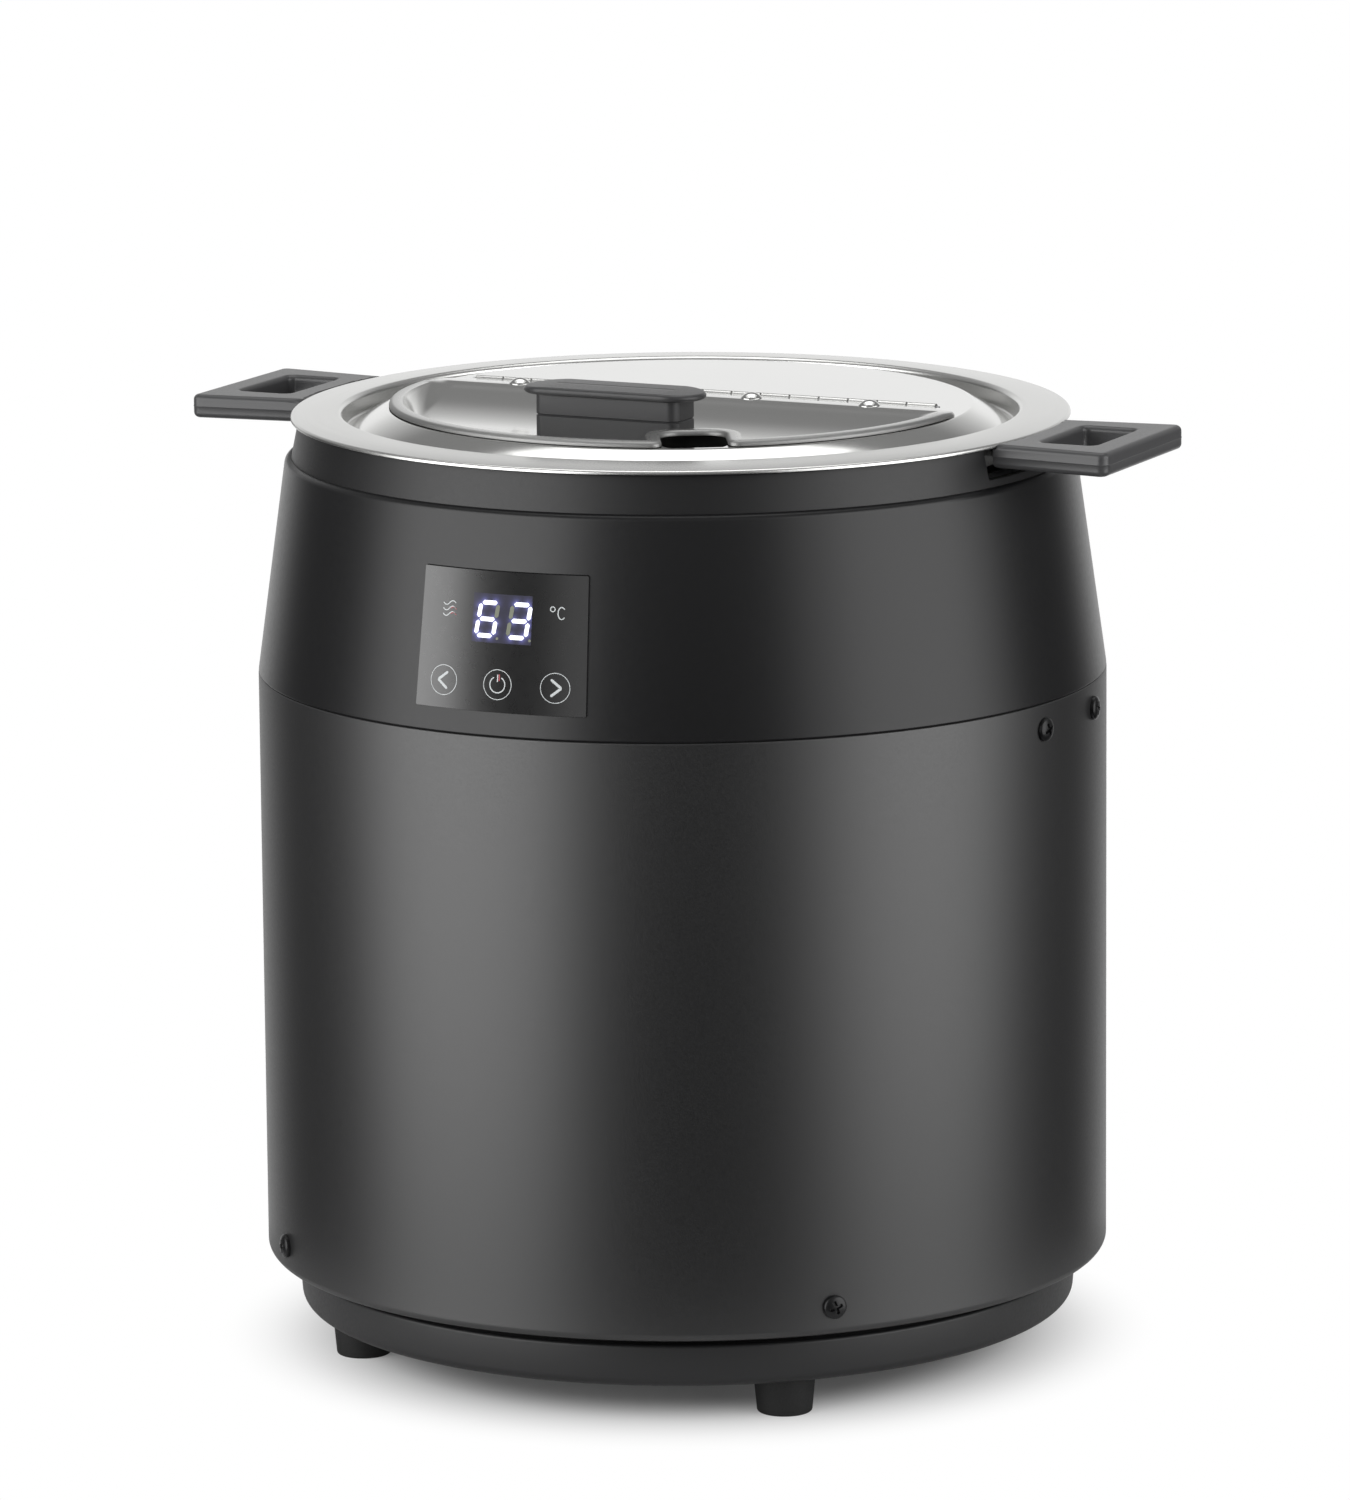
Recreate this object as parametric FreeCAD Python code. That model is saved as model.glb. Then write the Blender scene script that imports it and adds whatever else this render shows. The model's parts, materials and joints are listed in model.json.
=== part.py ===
import FreeCAD, Part
import math
import os

# Electric soup kettle: a sheet-steel body with a heated well, a pot that lifts out
# of it, and a lid with a hinged front flap. Millimetres, +Z up, front towards -Y.
# The origin is on the floor, under the middle of the body.

# Sheets and general clearances
body_sheet = 1.0
collar_sheet = 1.2
pot_sheet = 1.0
lid_sheet = 0.8
assembly_gap = 0.1
lift_gap = 0.3

# Pot, from its inside
pot_radius = 118.0
pot_depth = 205.0
pot_bottom_round = 18.0
lid_ledge_width = 5.0
lid_ledge_depth = 7.9
mouth_round = 2.0
pot_flange_width = 18.9
pot_flange_slope = 0.06
pot_edge_drop = 1.3

# Heated well round the pot
well_gap = 8.0
well_floor_gap = 18.0
well_round = 15.0
well_flange_width = 9.5

# Neck ring on the collar's shelf
neck_height = 14.2
neck_wall = 3.0
neck_lean = 2.7
neck_land_width = 5.5
neck_land_thickness = 2.8
neck_chamfer = 1.0
pot_edge_overhang = 2.9
handle_slot_width = 68.0
handle_slot_sill = 2.5

# Collar and body
collar_lip_width = 2.3
collar_lip_round = 2.5
collar_flare = 11.0
collar_height = 78.7
collar_tongue = 22.0
shell_height = 215.8
shell_hem = 7.0
shell_hem_round = 2.0
shelf_to_well = 3.0

# Base pan and feet
foot_height = 14.6
pan_drop = 19.9
pan_inset = 11.2
pan_draft = 1.4
pan_round = 4.0
pan_shadow_gap = 3.9
pan_lip_width = 5.0
pan_lip_round = 1.2
pan_upstand = 21.0
foot_top_radius = 11.25
foot_bottom_radius = 9.9
foot_inset = 19.8
foot_recess_radius = 4.7
foot_recess_depth = 8.0
foot_angles = {
    "foot_front_right": 41.5,
    "foot_back_right": 131.5,
    "foot_back_left": 221.5,
    "foot_front_left": 311.5,
}

# Heater under the well
spreader_margin = 22.0
spreader_thickness = 6.0
element_inset = 25.0
element_section = 8.0
element_sweep = 320.0
sleeve_radius = 5.5
sleeve_length = 26.0
clamp_overhang = 12.0
clamp_width = 20.0
clamp_corner = 5.0
clamp_thickness = 2.5
clamp_bolt_radius = 3.0
clamp_nut_radius = 6.0
clamp_nut_sides = 6
clamp_nut_height = 5.0
sensor_offset = 42.0
probe_radius = 3.0
probe_length = 20.0
cutout_radius = 8.0
cutout_step_radius = 5.5
cutout_height = 9.0
insulation_thickness = 5.0
insulation_floor_gap = 22.0
insulation_shelf_gap = 14.0

# Touch panel on the collar and the electronics behind it
panel_width = 65.0
panel_height = 48.6
panel_rise = 33.8
panel_sheet = 0.8
panel_corner = 2.0
panel_border = 3.5
display_width = 25.0
display_height = 19.0
display_lift = 8.2
display_setback = 0.7
pad_radius = 4.5
pad_spacing = 21.2
pad_drop = 14.2
carrier_margin = 4.0
carrier_wall = 5.0
board_setback = 11.0
board_thickness = 1.6

# Supply in the base
power_board_width = 96.0
power_board_depth = 64.0
power_board_y = -20.0
power_board_corner = 3.0
spacer_radius = 3.5
spacer_height = 8.0
spacer_edge = 6.0
transformer_size = (34.0, 30.0, 26.0)
transformer_x = -24.0
relay_size = (20.0, 16.0, 16.0)
relay_x = 24.0
terminal_size = (44.0, 18.0, 15.0)
terminal_y = 84.0
terminal_step = 5.0

# Mains gland in the back of the pan
gland_rise = 9.4
gland_bore = 3.6
gland_shank = 4.7
gland_flange = 6.2
gland_flange_depth = 3.2
gland_reach = 9.0
gland_nut_radius = 5.7
gland_nut_depth = 4.0

# Pot handles and their brackets
handle_projection = 41.3
handle_outer_width = 74.0
handle_root_width = 64.0
handle_thickness = 8.6
handle_drop = 1.2
handle_corner = 3.5
handle_edge_round = 2.0
handle_root_overlap = 4.5
handle_edge_gap = 0.4
finger_length = 20.0
finger_width = 40.0
finger_corner = 2.5
finger_outer_bar = 12.0
bracket_sheet = 2.0
bracket_web_width = 62.0
bracket_web_inset = 5.0
bracket_tongue_width = 50.0
bracket_tab_height = 20.0
bracket_end_gap = 1.5

# Lid plate in the pot's mouth
lid_gap = 3.0
lid_shoulder = 7.0
lid_sink = 0.2
opening_rim_width = 13.0
opening_corner = 10.0
opening_setback = 14.0

# Piano hinge across the lid
hinge_y = 20.0
hinge_end_gap = 10.9
knuckle_count = 16
knuckle_radius = 1.65
knuckle_gap = 0.8
hinge_pin_radius = 0.75
hinge_running_gap = 0.05
hinge_pin_overhang = 0.9
leaf_sheet = 0.8
leaf_width = 9.0
leaf_relief = 0.4

# Dished flap with a raised rim
flap_inset = 14.0
flap_corner = 12.0
flap_edge_round = 1.6
flap_rim_width = 4.0
dish_depth = 8.8
dish_fall_width = 30.0
dish_floor_setback = 42.0
dish_strip = 10.0
dish_corner = 14.0
dish_steps = ((0.0, 0.0), (0.25, 0.17), (0.62, 0.68), (1.0, 1.0))
notch_angle = 28.3
notch_width = 23.5
notch_corner = 8.0
notch_depth = 27.0
notch_mouth_round = 4.0
rivet_spacing = 47.0
rivet_count = 4
rivet_setback = 6.0
rivet_radius = 4.0
rivet_crown_radius = 2.4
rivet_height = 2.7
rivet_shank = 1.6

# Two-part knob on the flap
knob_y = -54.5
knob_length = 57.0
knob_width = 18.0
knob_corner = 4.0
knob_seam_rise = 9.8
knob_grip_height = 7.5
knob_seam_chamfer = 0.4
cap_length = 70.0
cap_width = 24.0
cap_thickness = 3.7
cap_edge_round = 1.2
cap_dome_radius = 420.0

# Heights that follow from the sizes above
shell_bottom = foot_height + pan_drop
seam_z = shell_bottom + shell_height
shelf_z = seam_z + collar_height
neck_top = shelf_z + neck_height
seat_width = pot_flange_width - pot_edge_overhang - neck_chamfer
flange_top = neck_top + lift_gap + pot_sheet + pot_flange_slope * seat_width
flange_rim = flange_top - pot_flange_slope * pot_flange_width
flange_edge = flange_rim - pot_edge_drop
pot_floor = flange_top - pot_depth
ledge_z = flange_top - lid_ledge_depth
well_floor = pot_floor - pot_sheet - well_floor_gap
well_under = well_floor - pot_sheet
lid_top = flange_top - lid_sink
handle_top = flange_top - handle_drop
handle_bottom = handle_top - handle_thickness
bracket_top = ledge_z - pot_sheet
tongue_bottom = handle_bottom + (handle_thickness - bracket_sheet) / 2

# Radii that follow, from the pot outwards
pot_outside = pot_radius + pot_sheet
mouth_radius = pot_radius + lid_ledge_width
flange_radius = mouth_radius + pot_flange_width
well_radius = pot_outside + well_gap
well_outside = well_radius + pot_sheet
shelf_inner = well_outside + shelf_to_well
neck_top_radius = flange_radius - pot_edge_overhang
neck_base_radius = neck_top_radius + neck_lean
collar_top_radius = neck_base_radius + collar_lip_width
body_radius = collar_top_radius + collar_flare
tongue_radius = body_radius - body_sheet - assembly_gap
pan_radius = body_radius - pan_inset
pan_upstand_radius = body_radius - shell_hem_round - assembly_gap
pan_lip_z = shell_bottom - pan_shadow_gap
pan_flange_z = shell_bottom + body_sheet
foot_circle = pan_radius - foot_inset
lid_radius = mouth_radius - lid_gap
handle_reach = neck_base_radius + handle_projection
spreader_radius = well_radius - spreader_margin
element_ring_radius = spreader_radius - element_inset
clamp_length = 2 * (element_ring_radius + clamp_overhang)

# Lid radii and heights
flap_radius = lid_radius - flap_inset
opening_radius = flap_radius - opening_rim_width
dish_rim_radius = flap_radius - flap_rim_width
dish_floor_radius = dish_rim_radius - dish_fall_width
hinge_half_length = math.sqrt(flap_radius ** 2 - hinge_y ** 2) - hinge_end_gap
hinge_z = lid_top + lift_gap + knuckle_radius
flap_top = hinge_z + knuckle_radius
flap_bottom = lid_top + lift_gap
front_leaf_top = flap_top - lid_sheet
dish_floor = flap_top - dish_depth
flap_straight = hinge_y - knuckle_radius - leaf_relief

# Panel frame: centre on the collar's outside, tilted with the cone
cone_slope = math.degrees(math.atan2(collar_flare, collar_height))
panel_z = seam_z + panel_rise

UP = FreeCAD.Vector(0, 0, 1)
ORIGIN = FreeCAD.Vector(0, 0, 0)


def vec(x, y, z):
    return FreeCAD.Vector(x, y, z)


def outward(angle):
    """Level unit vector at an angle from the front, turning towards +X."""
    turn = math.radians(angle)
    return vec(math.sin(turn), -math.cos(turn), 0)


def cone_radius(z):
    """Outside radius of the collar at a height."""
    return body_radius - collar_flare * (z - seam_z) / collar_height


def rounded_wire(corners, place):
    """Closed wire through corners (a, b, rounding), with tangent arcs at the rounded ones."""
    spans = []
    count = len(corners)
    for index, (a, b, rounding) in enumerate(corners):
        corner = vec(a, b, 0)
        if rounding == 0:
            spans.append((corner, None, corner))
            continue
        before = vec(*corners[index - 1][:2], 0) - corner
        after = vec(*corners[(index + 1) % count][:2], 0) - corner
        half = before.getAngle(after) / 2
        before.normalize()
        after.normalize()
        setback = rounding / math.tan(half)
        middle = (before + after).normalize() * (rounding / math.sin(half) - rounding)
        spans.append((corner + before * setback, corner + middle, corner + after * setback))
    edges = []
    for index, (start, middle, end) in enumerate(spans):
        if middle is not None:
            edges.append(Part.Arc(place(start), place(middle), place(end)).toShape())
        following = spans[(index + 1) % count][0]
        if (following - end).Length > Part.Precision.confusion():
            edges.append(Part.LineSegment(place(end), place(following)).toShape())
    return Part.Wire(edges)


def upright(solid):
    """The same solid with its faces pointing outwards."""
    if solid.Volume < 0:
        solid.reverse()
    return solid


def turned(corners):
    """Solid turned about the vertical axis from corners (radius, height, rounding)."""
    wire = rounded_wire(corners, lambda p: vec(p.x, 0, p.y))
    return upright(Part.Face(wire).revolve(ORIGIN, UP, 360))


def offset_path(path, sheet):
    """Open path of corners moved sideways: to the left of its direction where sheet is positive."""
    points = [vec(a, b, 0) for a, b, rounding in path]
    normals = []
    for start, end in zip(points, points[1:]):
        along = (end - start).normalize()
        normals.append(vec(-along.y, along.x, 0))
    moved = []
    for index, (a, b, rounding) in enumerate(path):
        before = normals[max(index - 1, 0)]
        after = normals[min(index, len(normals) - 1)]
        shift = (before + after) * (sheet / (1 + before.dot(after)))
        left_turn = before.cross(after).z > 0
        grown = rounding - sheet if left_turn else rounding + sheet
        moved.append((a + shift.x, b + shift.y, max(grown, 0) if rounding else 0))
    return moved


def pressed(path, sheet):
    """Turned sheet: one face follows the path, the other lies a sheet's thickness to its left."""
    return turned(path + offset_path(path, sheet)[::-1])


def filled(path):
    """Solid bounded by a path that is carried back to the axis at its top end."""
    return turned([(0, path[0][1], 0)] + path[1:] + [(0, path[-1][1], 0)])


def rounded_plate(width, depth, corner, bottom, height, centre=(0, 0)):
    """Upright block with a rounded rectangular plan."""
    x, y = centre
    corners = [
        (x - width / 2, y - depth / 2, corner),
        (x + width / 2, y - depth / 2, corner),
        (x + width / 2, y + depth / 2, corner),
        (x - width / 2, y + depth / 2, corner),
    ]
    wire = rounded_wire(corners, lambda p: vec(p.x, p.y, bottom))
    return Part.Face(wire).extrude(UP * height)


def level_edges(solid, *heights):
    """Edges that lie flat at one of the heights."""
    found = []
    for edge in solid.Edges:
        box = edge.BoundBox
        flat = box.ZLength < Part.Precision.confusion()
        if flat and any(abs(box.ZMin - z) < Part.Precision.confusion() for z in heights):
            found.append(edge)
    return found


def group(solids):
    return Part.makeCompound(solids)


def cut_all(solid, tools):
    for tool in tools:
        solid = solid.cut(tool)
    return solid


# Paths of the pressed pieces, as corners (radius, height, rounding)

def shell_path():
    return [
        (body_radius - shell_hem, shell_bottom, 0),
        (body_radius, shell_bottom, shell_hem_round),
        (body_radius, seam_z, 0),
    ]


def pan_path():
    return [
        (0, foot_height, 0),
        (pan_radius - pan_draft, foot_height, pan_round),
        (pan_radius, pan_lip_z, pan_lip_round),
        (pan_radius - pan_lip_width, pan_lip_z, 0),
        (pan_radius - pan_lip_width, pan_flange_z, 0),
        (pan_upstand_radius, pan_flange_z, 0),
        (pan_upstand_radius, pan_flange_z + pan_upstand, 0),
    ]


def collar_path():
    return [
        (tongue_radius, seam_z - collar_tongue, 0),
        (tongue_radius, seam_z, 0),
        (body_radius, seam_z, 0),
        (collar_top_radius, shelf_z, collar_lip_round),
        (shelf_inner, shelf_z, 0),
    ]


def well_path():
    return [
        (0, well_floor, 0),
        (well_radius, well_floor, well_round),
        (well_radius, shelf_z + pot_sheet, 0),
        (well_radius + well_flange_width, shelf_z + pot_sheet, 0),
    ]


def pot_path():
    return [
        (0, pot_floor, 0),
        (pot_radius, pot_floor, pot_bottom_round),
        (pot_radius, ledge_z, 0),
        (mouth_radius, ledge_z, 0),
        (mouth_radius, flange_top, mouth_round),
        (flange_radius, flange_rim, 0),
        (flange_radius, flange_edge, 0),
    ]


# Body

def body_shell():
    return pressed(shell_path(), body_sheet)


def base_pan():
    entry = Part.makeCylinder(gland_shank, body_radius, gland_centre(), vec(0, 1, 0))
    return pressed(pan_path(), body_sheet).cut(entry)


def foot(angle):
    """Rubber foot, tapered towards the floor, with the recess of its fixing screw."""
    shape = turned([
        (0, foot_recess_depth, 0),
        (foot_recess_radius, foot_recess_depth, 0),
        (foot_recess_radius, 0, 0),
        (foot_bottom_radius, 0, 0),
        (foot_top_radius, foot_height, 0),
        (0, foot_height, 0),
    ])
    shape.translate(outward(angle) * foot_circle)
    return shape


def panel_window():
    """Opening in the collar behind the touch panel, a border smaller than the panel all round."""
    return in_panel(Part.makeBox(
        panel_width - 2 * panel_border,
        2 * board_setback,
        panel_height - 2 * panel_border,
        vec(-panel_width / 2 + panel_border, -board_setback, -panel_height / 2 + panel_border),
    ))


def upper_collar():
    return pressed(collar_path(), collar_sheet).cut(panel_window())


def neck_ring():
    """Ring with an inner land that leans like the pot's flange above it, open at the handles' slots."""
    land_inner = neck_top_radius - neck_land_width
    land_top = neck_top + pot_flange_slope * (neck_land_width - neck_chamfer)
    ring = turned([
        (neck_base_radius, shelf_z, 0),
        (neck_top_radius, neck_top - neck_chamfer, 0),
        (neck_top_radius - neck_chamfer, neck_top, 0),
        (land_inner, land_top, 0),
        (land_inner, neck_top - neck_land_thickness, 0),
        (neck_top_radius - neck_wall, neck_top - neck_land_thickness, 0),
        (neck_base_radius - neck_wall, shelf_z, 0),
    ])
    slot = Part.makeBox(
        2 * neck_base_radius,
        handle_slot_width,
        neck_height,
        vec(-neck_base_radius, -handle_slot_width / 2, shelf_z + handle_slot_sill),
    )
    return ring.cut(slot)


def heating_well():
    return pressed(well_path(), -pot_sheet)


# Heater

def spreader_under():
    return well_under - spreader_thickness


def heat_spreader():
    disc = Part.makeCylinder(spreader_radius, spreader_thickness, UP * spreader_under())
    probe_hole = Part.makeCylinder(probe_radius, spreader_thickness, vec(-sensor_offset, 0, spreader_under()))
    bolt_hole = Part.makeCylinder(clamp_bolt_radius, spreader_thickness, UP * spreader_under())
    return cut_all(disc, [probe_hole, bolt_hole])


def clamp_top():
    return spreader_under() - element_section


def heating_element():
    """Flat-sided heater bent to an open ring under the spreader, with a terminal sleeve at each end."""
    corner = vec(element_ring_radius - element_section / 2, 0, clamp_top())
    section = Part.makePlane(element_section, element_section, corner, vec(0, 1, 0))
    ring = section.revolve(ORIGIN, UP, element_sweep)
    for angle in (0, element_sweep):
        turn = math.radians(angle)
        end = vec(math.cos(turn), math.sin(turn), 0) * element_ring_radius
        sleeve = Part.makeCylinder(sleeve_radius, sleeve_length, end + UP * spreader_under(), -UP)
        ring = ring.fuse(sleeve)
    ring.rotate(ORIGIN, UP, 180 - element_sweep / 2)
    return ring


def element_clamp():
    bottom = clamp_top() - clamp_thickness
    bar = rounded_plate(clamp_width, clamp_length, clamp_corner, bottom, clamp_thickness)
    return bar.cut(Part.makeCylinder(clamp_bolt_radius, well_floor))


def clamp_bolt():
    """Stud under the well's floor with the nut that draws the clamp bar up."""
    nut_bottom = clamp_top() - clamp_thickness - clamp_nut_height
    stud = Part.makeCylinder(clamp_bolt_radius, well_under - nut_bottom, UP * nut_bottom)
    angles = [360 * index / clamp_nut_sides for index in range(clamp_nut_sides + 1)]
    outline = Part.makePolygon([outward(angle) * clamp_nut_radius + UP * nut_bottom for angle in angles])
    nut = Part.Face(outline).extrude(UP * clamp_nut_height)
    return stud.fuse(nut)


def temperature_probe():
    top = vec(-sensor_offset, 0, well_under)
    return Part.makeCylinder(probe_radius, probe_length, top, -UP)


def thermal_cutout():
    bottom = spreader_under() - cutout_height
    return turned([
        (0, bottom, 0),
        (cutout_step_radius, bottom, 0),
        (cutout_step_radius, bottom + cutout_height / 2, 0),
        (cutout_radius, bottom + cutout_height / 2, 0),
        (cutout_radius, spreader_under(), 0),
        (0, spreader_under(), 0),
    ]).translated(vec(sensor_offset, 0, 0))


def insulation_sleeve():
    bottom = well_floor + insulation_floor_gap
    top = shelf_z - insulation_shelf_gap
    return turned([
        (well_outside, bottom, 0),
        (well_outside + insulation_thickness, bottom, 0),
        (well_outside + insulation_thickness, top, 0),
        (well_outside, top, 0),
    ])


# Touch panel and the electronics behind it

def in_panel(shape):
    """Shape from the panel's own frame: x across, y inwards, z up the slope, origin on the cone."""
    moved = shape.copy()
    centre = vec(0, -cone_radius(panel_z), panel_z)
    tilt = FreeCAD.Placement(centre, FreeCAD.Rotation(vec(1, 0, 0), -cone_slope))
    moved.Placement = tilt.multiply(moved.Placement)
    return moved


def panel_prism(width, height, corner, front, back):
    """Rounded block across the panel's frame, from one depth to another."""
    block = rounded_plate(width, height, corner, 0, back - front)
    block.rotate(ORIGIN, vec(1, 0, 0), -90)
    block.translate(vec(0, front, 0))
    return in_panel(block)


def cone_layer(inner, outer):
    """Ring of the cone between two distances from the collar's outside."""
    return turned([
        (cone_radius(seam_z) + inner, seam_z, 0),
        (cone_radius(seam_z) + outer, seam_z, 0),
        (cone_radius(shelf_z) + outer, shelf_z, 0),
        (cone_radius(shelf_z) + inner, shelf_z, 0),
    ])


def cone_core(inset):
    """Solid cone inside the collar, a distance in from its outside."""
    return filled([
        (0, seam_z, 0),
        (cone_radius(seam_z) - inset, seam_z, 0),
        (cone_radius(shelf_z) - inset, shelf_z, 0),
    ])


def sheet_across_cone(sheet):
    """Level thickness of a sheet that leans with the cone."""
    return sheet / math.cos(math.radians(cone_slope))


def control_panel():
    block = panel_prism(panel_width, panel_height, panel_corner, -board_setback, board_setback)
    return cone_layer(0, panel_sheet).common(block)


def panel_carrier():
    width = panel_width + 2 * carrier_margin
    height = panel_height + 2 * carrier_margin
    block = panel_prism(width, height, panel_corner, 0, board_setback)
    hollow = panel_prism(width - 2 * carrier_wall, height - 2 * carrier_wall, panel_corner,
                         -board_setback, 2 * board_setback)
    return block.common(cone_core(sheet_across_cone(collar_sheet))).cut(hollow)


def control_board():
    width = panel_width + 2 * carrier_margin
    height = panel_height + 2 * carrier_margin
    return panel_prism(width, height, panel_corner, board_setback, board_setback + board_thickness)


def display_module():
    block = Part.makeBox(
        display_width,
        board_setback - display_setback,
        display_height,
        vec(-display_width / 2, display_setback, display_lift - display_height / 2),
    )
    return in_panel(block)


def touch_pads():
    pads = []
    for step in (-1, 0, 1):
        base = vec(step * pad_spacing, board_setback, -pad_drop)
        pad = in_panel(Part.makeCylinder(pad_radius, 2 * board_setback, base, vec(0, -1, 0)))
        pads.append(pad.common(cone_core(0)))
    return group(pads)


# Supply in the base

def pan_inside():
    return foot_height + body_sheet


def board_top():
    return pan_inside() + spacer_height + board_thickness


def power_board():
    return rounded_plate(power_board_width, power_board_depth, power_board_corner,
                         pan_inside() + spacer_height, board_thickness, (0, power_board_y))


def board_spacers():
    x = power_board_width / 2 - spacer_edge
    y = power_board_depth / 2 - spacer_edge
    return group([
        Part.makeCylinder(spacer_radius, spacer_height, vec(sx * x, power_board_y + sy * y, pan_inside()))
        for sx in (-1, 1) for sy in (-1, 1)
    ])


def on_board(size, x):
    width, depth, height = size
    corner = vec(x - width / 2, power_board_y - depth / 2, board_top())
    return Part.makeBox(width, depth, height, corner)


def terminal_block():
    width, depth, height = terminal_size
    profile = Part.makePolygon([
        vec(-width / 2, terminal_y - depth / 2, pan_inside()),
        vec(-width / 2, terminal_y + depth / 2, pan_inside()),
        vec(-width / 2, terminal_y + depth / 2, pan_inside() + height - terminal_step),
        vec(-width / 2, terminal_y + terminal_step, pan_inside() + height),
        vec(-width / 2, terminal_y - terminal_step, pan_inside() + height),
        vec(-width / 2, terminal_y - depth / 2, pan_inside() + height - terminal_step),
        vec(-width / 2, terminal_y - depth / 2, pan_inside()),
    ])
    return Part.Face(profile).extrude(vec(width, 0, 0))


def gland_centre():
    return UP * (foot_height + gland_rise)


def back_cylinder(radius, start, end):
    """Round bar towards the back through the gland's centre."""
    return Part.makeCylinder(radius, end - start, gland_centre() + vec(0, start, 0), vec(0, 1, 0))


def cable_gland():
    inner_end = pan_radius - gland_reach
    flange = back_cylinder(gland_flange, inner_end, pan_radius + gland_flange_depth)
    flange = flange.cut(filled(pan_path()[:3]))
    shank = back_cylinder(gland_shank, inner_end, pan_radius)
    bore = back_cylinder(gland_bore, 0, body_radius)
    return flange.fuse(shank).cut(bore)


def gland_nut():
    nut = back_cylinder(gland_nut_radius, pan_radius - body_sheet - gland_nut_depth, body_radius)
    inside = filled(offset_path(pan_path(), body_sheet)[:3])
    return nut.common(inside).cut(back_cylinder(gland_shank, 0, body_radius))


# Pot with its handles

def soup_pot():
    return pressed(pot_path(), -pot_sheet)


def on_side(shape, side):
    """Shape for the right side (+1), or turned half round for the left side (-1)."""
    placed = shape.copy()
    if side < 0:
        placed.rotate(ORIGIN, UP, 180)
    return placed


def finger_start():
    return handle_reach - finger_outer_bar - finger_length


def bracket_block(start, end, width, bottom, top):
    """Upright block of the right bracket, from one distance from the axis to another."""
    return Part.makeBox(end - start, width, top - bottom, vec(start, -width / 2, bottom))


def right_bracket():
    """Bracket welded to the pot: tab down its wall, shelf, upright web and tongue into the handle."""
    tab_radius = pot_outside + bracket_sheet
    tab = Part.makeCylinder(tab_radius, bracket_tab_height, UP * (bracket_top - bracket_tab_height))
    tab = tab.common(bracket_block(0, tab_radius, bracket_web_width, 0, bracket_top))
    web_end = neck_top_radius - neck_wall - bracket_web_inset
    shelf = bracket_block(0, web_end, bracket_web_width, bracket_top - bracket_sheet, bracket_top)
    web = bracket_block(web_end - bracket_sheet, web_end, bracket_web_width,
                        bracket_top - bracket_sheet, tongue_bottom + bracket_sheet)
    tongue = bracket_block(web_end - bracket_sheet, finger_start() - bracket_end_gap, bracket_tongue_width,
                           tongue_bottom, tongue_bottom + bracket_sheet)
    pot_wall = Part.makeCylinder(pot_outside, flange_top)
    return tab.fuse([shelf, web, tongue]).removeSplitter().cut(pot_wall)


def right_handle():
    """Loop handle with its finger hole, and a rebate where the pot's edge lies over its root."""
    root = neck_base_radius - handle_root_overlap
    outline = rounded_wire([
        (root, -handle_root_width / 2, 0),
        (handle_reach, -handle_outer_width / 2, handle_corner),
        (handle_reach, handle_outer_width / 2, handle_corner),
        (root, handle_root_width / 2, 0),
    ], lambda p: vec(p.x, p.y, handle_bottom))
    grip = Part.Face(outline).extrude(UP * handle_thickness)
    grip = grip.makeFillet(handle_edge_round, level_edges(grip, handle_bottom, handle_top))
    finger = rounded_plate(finger_length, finger_width, finger_corner, handle_bottom, handle_thickness,
                           (finger_start() + finger_length / 2, 0))
    rebate = Part.makeCylinder(flange_radius + handle_edge_gap, handle_thickness,
                               UP * (flange_edge - handle_edge_gap))
    return cut_all(grip, [right_bracket(), finger, rebate])


# Lid

def d_wire(radius, straight, corner, z):
    """Round outline cut off by a straight back edge, with rounded corners where they meet."""
    x = math.sqrt((radius - corner) ** 2 - (straight - corner) ** 2)
    reach = radius / (radius - corner)
    near = [vec(side * x, straight, z) for side in (-1, 1)]
    far = [vec(side * x * reach, (straight - corner) * reach, z) for side in (-1, 1)]
    heading = math.atan2(straight - corner, x)
    half_way = (math.pi / 2 + heading) / 2
    bends = [
        vec(side * (x + corner * math.cos(half_way)), straight - corner + corner * math.sin(half_way), z)
        for side in (-1, 1)
    ]
    return Part.Wire([
        Part.LineSegment(near[0], near[1]).toShape(),
        Part.Arc(near[1], bends[1], far[1]).toShape(),
        Part.Arc(far[1], vec(0, -radius, z), far[0]).toShape(),
        Part.Arc(far[0], bends[0], near[0]).toShape(),
    ])


def lid_plate():
    plate = pressed([
        (0, lid_top, 0),
        (lid_radius, lid_top, lid_shoulder),
        (lid_radius, ledge_z, 0),
    ], -lid_sheet)
    opening = Part.Face(d_wire(opening_radius, hinge_y - opening_setback, opening_corner, ledge_z))
    return plate.cut(opening.extrude(UP * lid_ledge_depth))


def knuckle_spans(first):
    """Start and length along X of every second knuckle."""
    pitch = 2 * hinge_half_length / knuckle_count
    return [
        (-hinge_half_length + index * pitch + knuckle_gap / 2, pitch - knuckle_gap)
        for index in range(first, knuckle_count, 2)
    ]


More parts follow.
